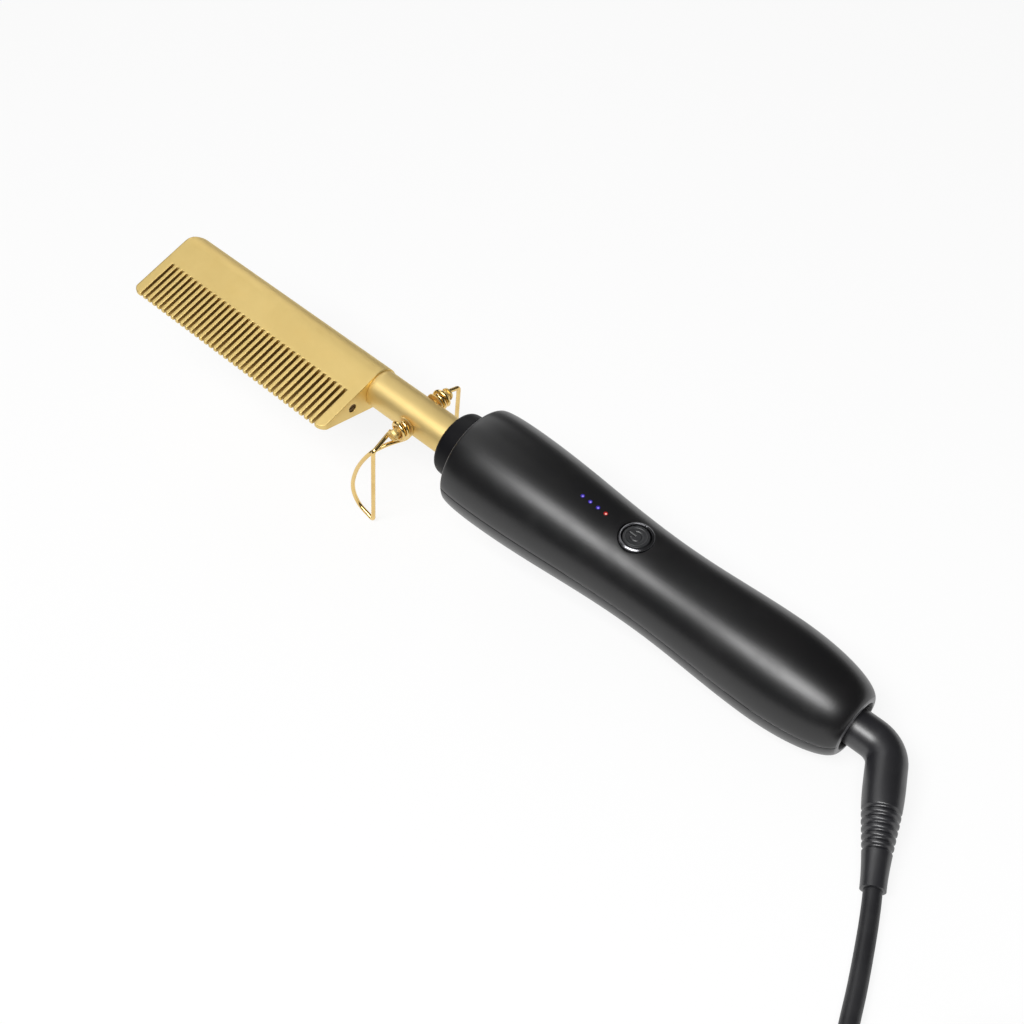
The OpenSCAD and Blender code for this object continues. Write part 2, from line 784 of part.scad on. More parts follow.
// ---- Cord ----
// Elbow boot: a neck along the handle's axis, a bend towards the teeth's side, then a taper
// with ribs. It ends square to the cord, one diameter before which the cord runs straight.
cord_radius = cord_diameter / 2;
bend_radius = 9;
boot_dir = [cos(elbow_angle), -sin(elbow_angle), 0];
boot_droop = 0.1;
elbow_start = rear_x + boot_neck - bend_radius * tan(elbow_angle / 2);
boot_arc = [for (a = [0:elbow_angle / 6:elbow_angle])
    [elbow_start + bend_radius * sin(a), -bend_radius * (1 - cos(a)), 0]];
boot_out = unit(boot_dir + [0, 0, -boot_droop]);
boot_tip = last(boot_arc) + boot_length * boot_out;
rib_count = 6;
rib_pitch = 2.15;
rib_depth = 0.5;
rib_first = 13.2;
function boot_taper(s) = mix(boot_radius, cord_radius + 0.9, ease(max(0, (s - 6) / (boot_length - 6))));
boot_leg = concat(
    [for (s = [1.5, 4, 7]) s],
    [for (i = [0:rib_count - 1], e = [0, 0.35, 0.5, 0.85]) rib_first + (i + e) * rib_pitch],
    [rib_first + rib_count * rib_pitch, boot_length - 6, boot_length]);
boot_rib = concat([0, 0, 0], [for (i = [0:rib_count - 1], e = [0, 1, 1, 0]) e], [0, 0, 0]);
module cord_boot() {
    path = concat([[rear_x - 2.5, 0, 0], [rear_x, 0, 0]], boot_arc,
        [for (s = boot_leg) last(boot_arc) + s * boot_out]);
    radii = concat([for (i = [0:len(boot_arc) + 1]) boot_radius],
        [for (i = [0:len(boot_leg) - 1]) boot_taper(boot_leg[i]) - rib_depth * boot_rib[i]]);
    color("#2d2d30")
        standing()
            tube_along(path, radii, 16, [0, 0, 1]);
}

// Route of the cord on the surface, from the boot to the coil
boot_end = stood(boot_tip);
boot_way = unit(stood(boot_tip) - stood(boot_tip - boot_out));
floor_z = cord_radius;
cord_route = [[178.4, -44.8, floor_z], [184, -57.2, floor_z], [189.4, -70.2, floor_z],
    [195.4, -82.7, floor_z], [202.9, -93.6, floor_z], [212.9, -101.9, 3]];
coil_center = [248, -82];
coil_in = 23.4;
coil_step = 5.7;
layer_turns = 2;
coil_layers = 4;
layer_height = cord_diameter + 0.45;
coil_floor = cord_radius + 1;
coil_out = coil_in + layer_turns * coil_step;
coil_turns = layer_turns * coil_layers;
// Radius and height after t turns: in and out at a steady rate, a climb at each reversal
function coil_r(t) = let (u = (t / layer_turns) % 2) coil_in + (coil_out - coil_in) * abs(1 - u);
function coil_z(t) = let (k = round(t / layer_turns), d = t - k * layer_turns)
    k < 1 || k >= coil_layers ? coil_floor + layer_height * (k < 1 ? 0 : coil_layers - 1)
    : coil_floor + layer_height * (k - 1 + ease(max(0, min(1, d / 0.5 + 0.5))));
coil_start_angle = 240;
function coil_point(t) = let (a = coil_start_angle + 360 * t)
    [coil_center.x + coil_r(t) * cos(a), coil_center.y + coil_r(t) * sin(a), coil_z(t)];
coil_rings = 24;
coil_path = [for (i = [0:coil_turns * coil_rings]) coil_point(i / coil_rings)];
coil_entry = coil_path[0];
coil_entry_way = unit(coil_path[0] - coil_path[1]);
coil_exit = last(coil_path);
coil_exit_way = unit([for (k = [0:2]) (last(coil_path) - coil_path[len(coil_path) - 2])[k]]);
coil_whole = concat([coil_entry + cord_diameter * [coil_entry_way.x, coil_entry_way.y, 0]],
    coil_path, [coil_exit + cord_diameter * [coil_exit_way.x, coil_exit_way.y, 0]]);
coil_gap = min([for (i = [0:2:len(coil_path) - 1], j = [i + coil_rings / 2:1:len(coil_path) - 1])
    norm(coil_path[i] - coil_path[j])]) - cord_diameter;
echo(coil_gap = coil_gap);

module cord() {
    start = boot_end + 0.02 * boot_way;
    finish = coil_whole[0];
    path = smooth(concat([start, start + cord_diameter * boot_way], cord_route,
        [finish + cord_diameter * [coil_entry_way.x, coil_entry_way.y, 0], finish]), 6);
    color("#262628")
        tube_along(path, cord_radius, 8);
}
module cord_coil() {
    color("#262628")
        tube_along(coil_whole, cord_radius, 6);
}

// Tail of the cord, round the coil and down to the plug: [angle, radius from the coil's middle, height]
tail_route = [[273, 38, 20.2], [291, 39.6, 18.6], [309, 41.4, 16], [328, 43.4, 12.6]];
tail_points = [for (p = tail_route)
    [coil_center.x + p[1] * cos(p[0]), coil_center.y + p[1] * sin(p[0]), p[2]]];
plug_height = 9;
plug_at = [coil_center.x + 44.5, coil_center.y + 2, plug_height];
plug_turn = 89;
plug_way = [cos(plug_turn), sin(plug_turn), 0];
module cord_tail() {
    start = last(coil_whole);
    path = smooth(concat([start, start + cord_diameter * [coil_exit_way.x, coil_exit_way.y, 0]],
        tail_points, [for (k = [2, 1, 0]) plug_at - k * cord_diameter * plug_way]), 5);
    color("#262628")
        tube_along(path, cord_radius, 8);
}

// Band round the coil's bundle of turns
tie_angle = 60;
tie_wall = 0.8;
tie_width = 14;
tie_in = coil_in - cord_radius - 0.6;
tie_out = coil_out + cord_radius + 0.6;
tie_top = coil_floor + (coil_layers - 1) * layer_height + cord_radius + 0.2;
module cord_tie() {
    color("#1d1d1f")
        translate([coil_center.x, coil_center.y, 0])
            rotate([0, 0, tie_angle])
                difference() {
                    translate([tie_in - tie_wall, -tie_width / 2, 0])
                        cube([tie_out - tie_in + 2 * tie_wall, tie_width, tie_top + tie_wall]);
                    translate([tie_in, -tie_width, tie_wall])
                        cube([tie_out - tie_in, 2 * tie_width, tie_top - tie_wall]);
                }
}

// Flat two-blade plug lying on the surface
plug_length = 28;
plug_relief = 18;
blade_spread = 12.7;
blade_size = [17, 1.5, 6.3];
module at_plug() {
    translate(plug_at)
        rotate([0, 0, plug_turn])
            children();
}
module plug_body() {
    color("#242426")
        at_plug()
            difference() {
                union() {
                    translate([seat_gap, 0, 0])
                        rotate([0, 90, 0])
                            cylinder(r1 = cord_radius + 0.9, r2 = 5, h = plug_relief + 1 - seat_gap, $fn = 48);
                    hull() {
                        translate([plug_relief, -6, -plug_height])
                            cube([4, 12, 2 * plug_height - 3]);
                        translate([plug_relief + 8, -12, -plug_height])
                            cube([plug_length - 8, 24, 2 * plug_height - 2]);
                    }
                }
                for (side = [-1, 1])
                    translate([plug_relief + plug_length - 10, side * blade_spread / 2 - blade_size.y / 2 - fit_gap,
                        -blade_size.z / 2 - fit_gap])
                        cube([12, blade_size.y + 2 * fit_gap, blade_size.z + 2 * fit_gap]);
            }
}
module plug_blades() {
    color("gold")
        at_plug()
            for (side = [-1, 1])
                translate([plug_relief + plug_length - 9.9, side * blade_spread / 2 - blade_size.y / 2,
                    -blade_size.z / 2])
                    difference() {
                        cube([9.9 + blade_size.x, blade_size.y, blade_size.z]);
                        translate([9.9 + blade_size.x - 4.5, -1, blade_size.z / 2])
                            rotate([-90, 0, 0])
                                cylinder(r = 1.6, h = 4, $fn = 32);
                    }
}

comb_head();
end_screw();
heating_rod();
heat_sensor();
thermal_fuse();
heater_leads();
insulating_sleeve();
neck_tube();
stand_washers();
stand_screws();
stand_wire();
collar();
neck_flange();
handle_top();
handle_bottom();
shell_screws();
circuit_board();
board_screws();
control_chip();
triac();
filter_capacitor();
supply_resistor();
switch_housing();
switch_plunger();
button_cap();
button_bezel();
status_leds();
blue_lamps();
red_lamp();
mains_leads();
swivel_socket();
contact_springs();
swivel_core();
slip_rings();
cord_boot();
cord();
cord_coil();
cord_tail();
cord_tie();
plug_body();
plug_blades();
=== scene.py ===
# Electric hot comb on its wire stand, with its swivel cord coiled beside it.
# Shapes are worked out along the comb's own axis in millimetres: x = 0 at the end face of the heated
# head, +x towards the cord, +y away from the teeth, +z out of the flat side with the button.
import json
import math

import bmesh
import bpy
import numpy as np
from mathutils import Matrix, Vector


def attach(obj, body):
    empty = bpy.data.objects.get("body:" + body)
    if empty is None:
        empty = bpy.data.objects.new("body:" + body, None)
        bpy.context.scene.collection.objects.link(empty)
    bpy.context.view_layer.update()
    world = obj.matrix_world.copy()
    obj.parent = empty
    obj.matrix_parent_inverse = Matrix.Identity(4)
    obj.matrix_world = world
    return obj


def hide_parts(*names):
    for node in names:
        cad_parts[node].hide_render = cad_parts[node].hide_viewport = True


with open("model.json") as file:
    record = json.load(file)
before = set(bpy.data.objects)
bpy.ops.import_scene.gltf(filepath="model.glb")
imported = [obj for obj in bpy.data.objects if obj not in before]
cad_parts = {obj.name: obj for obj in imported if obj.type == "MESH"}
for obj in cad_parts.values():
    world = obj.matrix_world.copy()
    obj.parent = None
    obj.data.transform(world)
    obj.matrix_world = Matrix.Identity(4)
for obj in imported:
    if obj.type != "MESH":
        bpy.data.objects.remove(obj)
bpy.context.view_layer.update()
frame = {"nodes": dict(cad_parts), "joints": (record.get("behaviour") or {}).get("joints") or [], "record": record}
mm = 0.001
print("stage: frame loaded,", len(frame["nodes"]), "nodes")

# Driving sizes in millimetres; the comb's own axes come from the swivel's joint
layout = {"headLength": 99, "neckShow": 35.5, "collarShow": 9.3, "handleLength": 146,
          "buttonOffset": 65, "lampOffset": 43.9, "lampPitch": 3.05}
collarX = layout["neckShow"]
frontX = collarX + layout["collarShow"]
rearX = frontX + layout["handleLength"]
buttonX = frontX + layout["buttonOffset"]
swivelJoint = next(j for j in frame["joints"] if j["name"] == "cord_swivel")
rearPoint = np.array(swivelJoint["pos_m"])
alongComb = np.array(swivelJoint["axis"])
acrossComb = np.array([0.0, 1.0, 0.0])
outOfFlat = np.cross(alongComb, acrossComb)
combAxes = np.stack([alongComb, acrossComb, outOfFlat])


def place(points):  # comb's own millimetres to metres in the frame
    points = np.asarray(points, float)
    return rearPoint + (points - [rearX, 0, 0]) @ combAxes * mm


def onFloor(points):  # millimetres in the frame's own axes to metres
    return np.asarray(points, float) * mm


# Camera: its place in metres, and its unit vectors
camera = {"place": (0.267571, -0.216630, 0.348922), "view": (-0.542525, 0.464943, -0.699639),
          "right": (0.725623, 0.679008, -0.111441), "lens": 50.97, "sensor": 36}


def makeCamera():
    back = -Vector(camera["view"])
    right = Vector(camera["right"])
    turn = Matrix((right, back.cross(right), back)).transposed()
    data = bpy.data.cameras.new("camera")
    data.lens = camera["lens"]
    data.sensor_width = camera["sensor"]
    eye = bpy.data.objects.new("camera", data)
    eye.matrix_world = Matrix.Translation(camera["place"]) @ turn.to_4x4()
    bpy.context.scene.collection.objects.link(eye)
    bpy.context.scene.camera = eye


makeCamera()


class Socket:  # one output of a node; maths on it adds Math nodes, and node() adds any other node
    def __init__(self, tree, out=None):
        self.tree = tree
        self.out = out

    def node(self, kind, settings=None, sockets=None, output=0):
        made = self.tree.nodes.new("ShaderNode" + kind)
        for name, value in (settings or {}).items():
            if name == "stops":
                ramp = made.color_ramp.elements
                while len(ramp) < len(value):
                    ramp.new(0.5)
                for stop, (position, shade) in zip(ramp, value):
                    stop.position = position
                    stop.color = (*shade, 1)
            else:
                setattr(made, name, value)
        for name, value in (sockets or {}).items():
            if isinstance(value, Socket):
                self.tree.links.new(value.out, made.inputs[name])
            else:
                made.inputs[name].default_value = value
        return Socket(self.tree, made.outputs[output]) if made.outputs else made

    def maths(self, operation, *values):
        return self.node("Math", {"operation": operation}, dict(enumerate(values)))

    def __add__(self, other):
        return self.maths("ADD", self, other)

    def __sub__(self, other):
        return self.maths("SUBTRACT", self, other)

    def __rsub__(self, other):
        return self.maths("SUBTRACT", other, self)

    def __mul__(self, other):
        return self.maths("MULTIPLY", self, other)

    def __truediv__(self, other):
        return self.maths("DIVIDE", self, other)

    __radd__ = __add__
    __rmul__ = __mul__

    def between(self, low, high):  # 0 under low, 1 over high, smooth between
        return self.node("MapRange", {"interpolation_type": "SMOOTHSTEP"},
                         {"Value": self, "From Min": low, "From Max": high})

    def mixColour(self, first, second):  # this socket is the factor
        return self.node("Mix", {"data_type": "RGBA"},
                         {0: self, 6: (*first, 1) if isinstance(first, tuple) else first,
                          7: (*second, 1) if isinstance(second, tuple) else second}, output=2)


def newShader(name):
    material = bpy.data.materials.new(name)
    material.use_nodes = True
    material.node_tree.nodes.clear()
    return material, Socket(material.node_tree)


def noise(shader, coords, scale, detail=3, roughness=0.5):
    return shader.node("TexNoise", {"noise_dimensions": "3D"},
                       {"Vector": coords, "Scale": scale, "Detail": detail, "Roughness": roughness})


def objectCoords(shader):
    return shader.node("TexCoord", output="Object")


def finishShader(shader, **sockets):
    surface = shader.node("BsdfPrincipled", None,
                          {name.replace("_", " "): value for name, value in sockets.items()})
    shader.node("OutputMaterial", None, {"Surface": surface})


def fromPoints(shader, coords, points):  # distance to the nearest of some points, in metres
    away = [shader.node("VectorMath", {"operation": "DISTANCE"}, {0: coords, 1: tuple(point)}, 1)
            for point in points]
    nearest = away[0]
    for other in away[1:]:
        nearest = nearest.maths("MINIMUM", nearest, other)
    return nearest


def alongAndAround(shader, coords):  # millimetres along the comb's axis from its zero, and away from it
    fromRear = shader.node("VectorMath", {"operation": "SUBTRACT"}, {0: coords, 1: tuple(rearPoint)})
    dot = shader.node("VectorMath", {"operation": "DOT_PRODUCT"}, {0: fromRear, 1: tuple(alongComb)}, 1)
    cross = shader.node("VectorMath", {"operation": "CROSS_PRODUCT"}, {0: fromRear, 1: tuple(alongComb)})
    around = shader.node("VectorMath", {"operation": "LENGTH"}, {0: cross}, 1)
    return dot / mm + rearX, around / mm


# Comb head; its finish and its shape read the same sizes
head = {"backRadius": 7.2, "reach": 26.5, "edge": 1.5, "slots": 36, "slotWidth": 1.1, "pitch": 2.56,
        "root": 11, "endMargin": 4.6, "corner": 3, "tipRound": 0.55, "tipFade": 6, "edgeRound": 0.28,
        "endRound": 0.7, "recessY": -12.8, "recessRadius": 1.55, "recessDepth": 2.9,
        "recessRows": (-14.9, -10.7)}


# mask of the slots' walls, where painted shade darkens the gold
def paintedSlotShade(shader, coords):  # 1 where the nearest slot's middle is within half its width, else 0
    along, _ = alongAndAround(shader, coords)
    steps = (along + head["endMargin"]) / head["pitch"]
    fromMiddle = steps.maths("PINGPONG", steps, 0.5) * head["pitch"]
    half = head["slotWidth"] / 2
    near = head["endMargin"] - 1
    far = head["endMargin"] + head["pitch"] * (head["slots"] - 1) + 1
    inRow = along.between(-far - 0.1, -far) * (1 - along.between(-near, -near + 0.1))
    across = shader.node("SeparateXYZ", None, {0: coords}, 1) / mm - float(rearPoint[1] / mm)
    inTeeth = 1 - across.between(-head["root"] - 0.3, -head["root"])
    return inRow * inTeeth * (1 - fromMiddle.between(half - 0.05, half + 0.09))


# A finish is its colour with slow drifts towards a second colour, fine grain that shifts roughness,
# smudges from handling, and a bump of the grain. Scales are per metre, bump distances in metres.
# Lines are painted highlights: narrow lighter bands across the comb's axis, outside a radius, where a rim's edge
# catches light; spots are balls of another colour, both in the comb's own millimetres, and the head's spot is
# painted shade in its recess. Slots is the colour of painted shade on the slots' walls.
def makeFinish(name, colour, drift, rough, metal=0.0, grain=4000, grainRough=0.06, bump=0.00001,
               bumpStrength=0.25, patches=60, smudge=0.05, coat=0.0, specular=0.5, stretch=None,
               paintedRimHighlights=(), spots=(), slots=None):
    material, shader = newShader(name)
    coords = objectCoords(shader)
    fine = coords
    if stretch:  # grain drawn out along one axis, as brushing does
        fine = shader.node("Mapping", None, {"Vector": coords, "Scale": stretch})
    grainField = noise(shader, fine, grain, 2)
    patchField = noise(shader, coords, patches, 4, 0.6)
    smudgeField = noise(shader, coords, patches * 3.1, 3).between(0.5, 0.75)
    shade = patchField.between(0.35, 0.68).mixColour(colour, drift)
    # painted highlight: lighter bands that stand in for the light a rim's edge catches
    for x, half, radius, tone in paintedRimHighlights:
        along, around = alongAndAround(shader, coords)
        offset = along - x
        beside = offset.maths("ABSOLUTE", offset).between(half * 0.5, half)
        shade = (around.between(radius, radius + 0.4) * (1 - beside)).mixColour(shade, tone)
    # spots: balls of another colour; on the head the spot is painted shade darkening the fastener's recess
    for point, reach, tone in spots:
        away = fromPoints(shader, coords, place([point]))
        shade = away.between(reach * 0.96 * mm, reach * 1.03 * mm).mixColour(tone, shade)
    # painted shade: the slots' walls turn darker, as where light does not reach into the slots
    if slots:
        shade = paintedSlotShade(shader, coords).mixColour(shade, slots)
    roughness = (grainField - 0.5) * (2 * grainRough) + smudgeField * smudge + rough
    normal = shader.node("Bump", None, {"Height": grainField, "Distance": bump, "Strength": bumpStrength})
    sockets = {"Base_Color": shade, "Roughness": roughness, "Normal": normal, "Metallic": metal,
               "Specular_IOR_Level": specular}
    if coat:
        sockets["Coat_Weight"] = coat
        sockets["Coat_Roughness"] = 0.12
    finishShader(shader, **sockets)
    return material


finishes = {
    "head_gold": dict(colour=(0.86, 0.66, 0.27), drift=(0.82, 0.62, 0.245), rough=0.52, metal=1.0,
                      grain=5200, grainRough=0.09, bump=0.00003, bumpStrength=0.5, patches=45, smudge=0.04,
                      # the spot is painted shade in the fastener's recess on the end face; slots is painted shade
                      # on the slots' walls
                      spots=[((-1.4, -12.8, 0), 2.0, (0.16, 0.10, 0.04))], slots=(0.34, 0.21, 0.05)),
    "tube_gold": dict(colour=(0.87, 0.67, 0.29), drift=(0.83, 0.63, 0.26), rough=0.52, metal=1.0,
                      grain=3600, grainRough=0.05, bump=0.00001, patches=40, smudge=0.05),
    "wire_gold": dict(colour=(0.82, 0.59, 0.24), drift=(0.72, 0.49, 0.18), rough=0.17, metal=1.0,
                      grain=1800, grainRough=0.03, patches=120, smudge=0.05),
    "ceramic": dict(colour=(0.85, 0.84, 0.80), drift=(0.80, 0.78, 0.72), rough=0.42),
    "glass_bead": dict(colour=(0.62, 0.20, 0.06), drift=(0.50, 0.15, 0.05), rough=0.12, coat=0.6),
    "fuse_metal": dict(colour=(0.66, 0.66, 0.68), drift=(0.58, 0.58, 0.60), rough=0.30, metal=1.0),
    "lead_sleeve": dict(colour=(0.84, 0.84, 0.80), drift=(0.76, 0.75, 0.68), rough=0.55),
    "woven_sleeve": dict(colour=(0.80, 0.76, 0.62), drift=(0.70, 0.64, 0.48), rough=0.75, grain=2200,
                         bump=0.00012, bumpStrength=0.7),
    "collar_black": dict(colour=(0.004, 0.004, 0.005), drift=(0.006, 0.006, 0.007), rough=0.45, grain=5200,
                         bump=0.00002, patches=60, smudge=0.06, specular=0.14),
    "handle_black": dict(colour=(0.0035, 0.0035, 0.004), drift=(0.006, 0.0055, 0.006), rough=0.33, grain=5600,
                         grainRough=0.05, bump=0.00001, patches=30, smudge=0.05, specular=0.66,
                         # lines: painted highlights on the front and rear rims' edges
                         paintedRimHighlights=[(frontX + 0.15, 0.3, 16.2, (0.13, 0.13, 0.135)),
                                (rearX - 0.1, 0.22, 7.9, (0.11, 0.11, 0.115))]),
    "steel": dict(colour=(0.56, 0.57, 0.59), drift=(0.48, 0.49, 0.50), rough=0.28, metal=1.0),
    "board_green": dict(colour=(0.02, 0.15, 0.07), drift=(0.03, 0.19, 0.09), rough=0.34, coat=0.3),
    "chip_black": dict(colour=(0.02, 0.02, 0.022), drift=(0.03, 0.03, 0.032), rough=0.50),
    "capacitor_amber": dict(colour=(0.50, 0.20, 0.03), drift=(0.42, 0.16, 0.02), rough=0.28, coat=0.4),
    "resistor_tan": dict(colour=(0.52, 0.38, 0.22), drift=(0.46, 0.32, 0.18), rough=0.38),
    "plunger_grey": dict(colour=(0.55, 0.55, 0.52), drift=(0.50, 0.50, 0.47), rough=0.45),
    "button_black": dict(colour=(0.020, 0.021, 0.022), drift=(0.025, 0.025, 0.027), rough=0.38, grain=6000,
                         bump=0.00001, patches=200, smudge=0.06, specular=0.5),
    "bezel_silver": dict(colour=(0.19, 0.19, 0.20), drift=(0.15, 0.15, 0.16), rough=0.22, metal=1.0,
                         grain=3000, patches=200),
    "led_white": dict(colour=(0.84, 0.84, 0.78), drift=(0.80, 0.79, 0.70), rough=0.35),
    "lead_brown": dict(colour=(0.20, 0.08, 0.03), drift=(0.16, 0.06, 0.02), rough=0.45),
    "socket_ivory": dict(colour=(0.72, 0.68, 0.56), drift=(0.66, 0.62, 0.50), rough=0.48),
    "contact_copper": dict(colour=(0.70, 0.34, 0.20), drift=(0.62, 0.28, 0.15), rough=0.26, metal=1.0),
    "ring_brass": dict(colour=(0.74, 0.52, 0.22), drift=(0.66, 0.44, 0.17), rough=0.22, metal=1.0),
    "core_black": dict(colour=(0.03, 0.03, 0.033), drift=(0.04, 0.04, 0.043), rough=0.45),
    "boot_black": dict(colour=(0.009, 0.009, 0.011), drift=(0.014, 0.014, 0.017), rough=0.36, grain=4200,
                       bump=0.000015, patches=80, smudge=0.05, specular=1.0),
    "cord_black": dict(colour=(0.014, 0.014, 0.016), drift=(0.022, 0.022, 0.024), rough=0.42, grain=4200,
                       bump=0.00002, patches=70, smudge=0.10, specular=0.45),
    "tie_black": dict(colour=(0.018, 0.018, 0.020), drift=(0.026, 0.026, 0.028), rough=0.58, grain=2600,
                      bump=0.00005, bumpStrength=0.6),
    "plug_black": dict(colour=(0.016, 0.016, 0.018), drift=(0.024, 0.024, 0.026), rough=0.40, grain=4200,
                       bump=0.00002, patches=60, smudge=0.08),
    "blade_nickel": dict(colour=(0.62, 0.59, 0.52), drift=(0.54, 0.51, 0.44), rough=0.22, metal=1.0,
                         grain=900, stretch=(1, 1, 6)),
}
# Light pipes: which lamps of the row, the lens's colour and that of its lit spot, which sits a little
# off the middle of the lamp's top and fades out between two distances in metres
lampGlow = {"lamp_blue": dict(row=(0, 1, 2), lens=(0.022, 0.014, 0.17), lit=(0.36, 0.27, 0.85)),
            "lamp_red": dict(row=(3,), lens=(0.20, 0.006, 0.006), lit=(0.95, 0.55, 0.48))}
litSpot = {"shift": (0.15, -0.1), "edge": (0.00014, 0.00046)}


def makeLamp(name, row, lens, lit):  # the glow runs from the lit spot's colour to the lens's
    material, shader = newShader(name)
    coords = objectCoords(shader)
    ahead, aside = litSpot["shift"]
    spots = [layout["lampOffset"] + frontX + i * layout["lampPitch"] + ahead for i in row]
    nearest = fromPoints(shader, coords, place([[x, aside, float(handleRadius(x))] for x in spots]))
    shade = nearest.between(*litSpot["edge"]).mixColour(lit, lens)
    grainField = noise(shader, coords, 2500)
    finishShader(shader, Base_Color=lens + (1,), Roughness=(grainField - 0.5) * 0.1 + 0.2,
                 Emission_Color=shade, Emission_Strength=1.0)
    return material


materials = {name: makeFinish(name, **values) for name, values in finishes.items()}
print("stage: finishes made,", len(materials))


def gridFaces(rows, columns, closed):  # quads of a grid whose points run row by row
    i, j = np.meshgrid(np.arange(rows - 1), np.arange(columns if closed else columns - 1), indexing="ij")
    k = (j + 1) % columns
    quads = np.stack([i * columns + j, i * columns + k, (i + 1) * columns + k, (i + 1) * columns + j], -1)
    return quads.reshape(-1, 4)


def surface(points, closed=True):  # (rows, columns, 3) to a part: its points and its quads
    points = np.asarray(points, float)
    rows, columns = points.shape[:2]
    return points.reshape(-1, 3), gridFaces(rows, columns, closed)


def makePiece(name, parts, body, finish, replaced, toFrame=place, sharp=35):
    starts = np.cumsum([0] + [len(points) for points, _ in parts])
    points = toFrame(np.concatenate([points for points, _ in parts]))
    quads = np.concatenate([faces + start for (_, faces), start in zip(parts, starts)])
    mesh = bpy.data.meshes.new(name)
    mesh.vertices.add(len(points))
    mesh.vertices.foreach_set("co", points.ravel())
    mesh.loops.add(quads.size)
    mesh.loops.foreach_set("vertex_index", quads.ravel().astype(np.int32))
    mesh.polygons.add(len(quads))
    mesh.polygons.foreach_set("loop_start", np.arange(0, quads.size, 4, dtype=np.int32))
    mesh.update(calc_edges=True)
    mergeDoubles(mesh)
    mesh.polygons.foreach_set("use_smooth", np.ones(len(mesh.polygons), bool))
    mesh.set_sharp_from_angle(angle=math.radians(sharp))
    piece = bpy.data.objects.new(name, mesh)
    bpy.context.scene.collection.objects.link(piece)
    mesh.materials.append(materials[finish])
    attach(piece, body)
    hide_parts(*replaced)
    print("stage: piece", name, len(mesh.polygons), "faces")
    return piece


def mergeDoubles(mesh):  # joins the seams and poles, drops what fell flat and turns faces outwards
    work = bmesh.new()
    work.from_mesh(mesh)
    bmesh.ops.remove_doubles(work, verts=work.verts, dist=2e-6)
    bmesh.ops.dissolve_degenerate(work, edges=work.edges, dist=1e-6)
    bmesh.ops.recalc_face_normals(work, faces=work.faces)
    work.to_mesh(mesh)
    work.free()


def filletCorners(points, reach, steps=6):  # each corner becomes a parabola that starts reach before it
    points = [np.asarray(p, float) for p in points]
    reach = np.broadcast_to(reach, len(points))
    path = [points[0]]
    for before, corner, after, r in zip(points, points[1:], points[2:], reach[1:]):
        start = corner + r * (before - corner) / np.linalg.norm(before - corner)
        end = corner + r * (after - corner) / np.linalg.norm(after - corner)
        t = np.linspace(0, 1, steps + 1)[:, None]
        path.extend((1 - t) ** 2 * start + 2 * t * (1 - t) * corner + t ** 2 * end)
    path.append(points[-1])
    return np.array(path)


def turned(profile, sides=144):  # [x, radius] turned round the comb's axis
    profile = np.asarray(profile, float)
    angle = np.radians(np.linspace(0, 360, sides, endpoint=False))
    x = np.broadcast_to(profile[:, :1], (len(profile), sides))
    radius = profile[:, 1:]
    return surface(np.stack([x, radius * np.sin(angle), radius * np.cos(angle)], -1))


def sideways(path):  # two directions square to the path, carried along it without a twist
    tangent = np.gradient(path, axis=0)
    tangent /= np.linalg.norm(tangent, axis=1, keepdims=True)
    first = np.empty_like(path)
    lead = np.eye(3)[np.argmin(abs(tangent[0]))]
    for i, t in enumerate(tangent):
        lead = lead - (lead @ t) * t
        lead = lead / np.linalg.norm(lead)
        first[i] = lead
    return first, np.cross(tangent, first)


def swept(path, radius, sides):  # circle of a radius, or of a list of radii, along a path; ends close flat
    path = np.asarray(path, float)
    u, v = (np.concatenate([w[:1], w, w[-1:]]) for w in sideways(path))
    radius = np.concatenate([[0], np.broadcast_to(radius, len(path)), [0]])
    path = np.concatenate([path[:1], path, path[-1:]])
    angle = np.linspace(0, 2 * np.pi, sides, endpoint=False)[:, None]
    ring = np.cos(angle) * u[:, None, :] + np.sin(angle) * v[:, None, :]
    return surface(path[:, None, :] + radius[:, None, None] * ring)


def cubic(a, b, c, d, t):  # Bezier curve between a and d
    a, b, c, d = (np.asarray(p, float) for p in (a, b, c, d))
    t = np.asarray(t, float)[:, None]
    return (1 - t) ** 3 * a + 3 * t * (1 - t) ** 2 * b + 3 * t * t * (1 - t) * c + t ** 3 * d


def smoothCurve(points, steps):  # curve through its points, with each handle a sixth of its neighbours' span
    p = np.asarray(points, float)
    padded = np.concatenate([p[:1], p, p[-1:]])
    t = np.linspace(0, 1, steps, endpoint=False)
    runs = [cubic(b, b + (c - a) / 6, c - (d - b) / 6, c, t)
            for a, b, c, d in zip(padded, padded[1:], padded[2:], padded[3:])]
    return np.concatenate(runs + [p[-1:]])


# The cord's stretch on the surface, its coil and its tail are one tube. Routes and places are in
# millimetres in the frame's own axes; the tail's route is [degrees round the coil, radius, height].
# The coil's lowest turns lie on the band's wall.
cord = {"radius": 2.6, "elbow": 61, "bendRadius": 9, "neck": 10.7, "bootLength": 36, "droop": 0.1,
        "route": [[178.4, -44.8, 2.6], [184, -57.2, 2.6], [189.4, -70.2, 2.6], [195.4, -82.7, 2.6],
                  [202.9, -93.6, 2.6], [212.9, -101.9, 3]]}
coil = {"centre": (248, -82), "inner": 23.4, "step": 5.7, "turnsPerLayer": 2, "layers": 4,
        "layerHeight": 5.65, "floor": 3.6, "startAngle": 240, "ringsPerTurn": 36}
tail = {"route": [[273, 38, 20.2], [291, 39.6, 18.6], [309, 41.4, 16], [328, 43.4, 12.6]],
        "plugFromCentre": (44.5, 2, 9)}
plug = {"turn": 89, "relief": 18, "length": 28, "halfWidth": 12, "halfHeight": 8, "neckRadius": 3.5,
        "reliefTaper": 1.5, "grooveDepth": 0.45, "groovePitch": 2.3, "grip": 0.8}


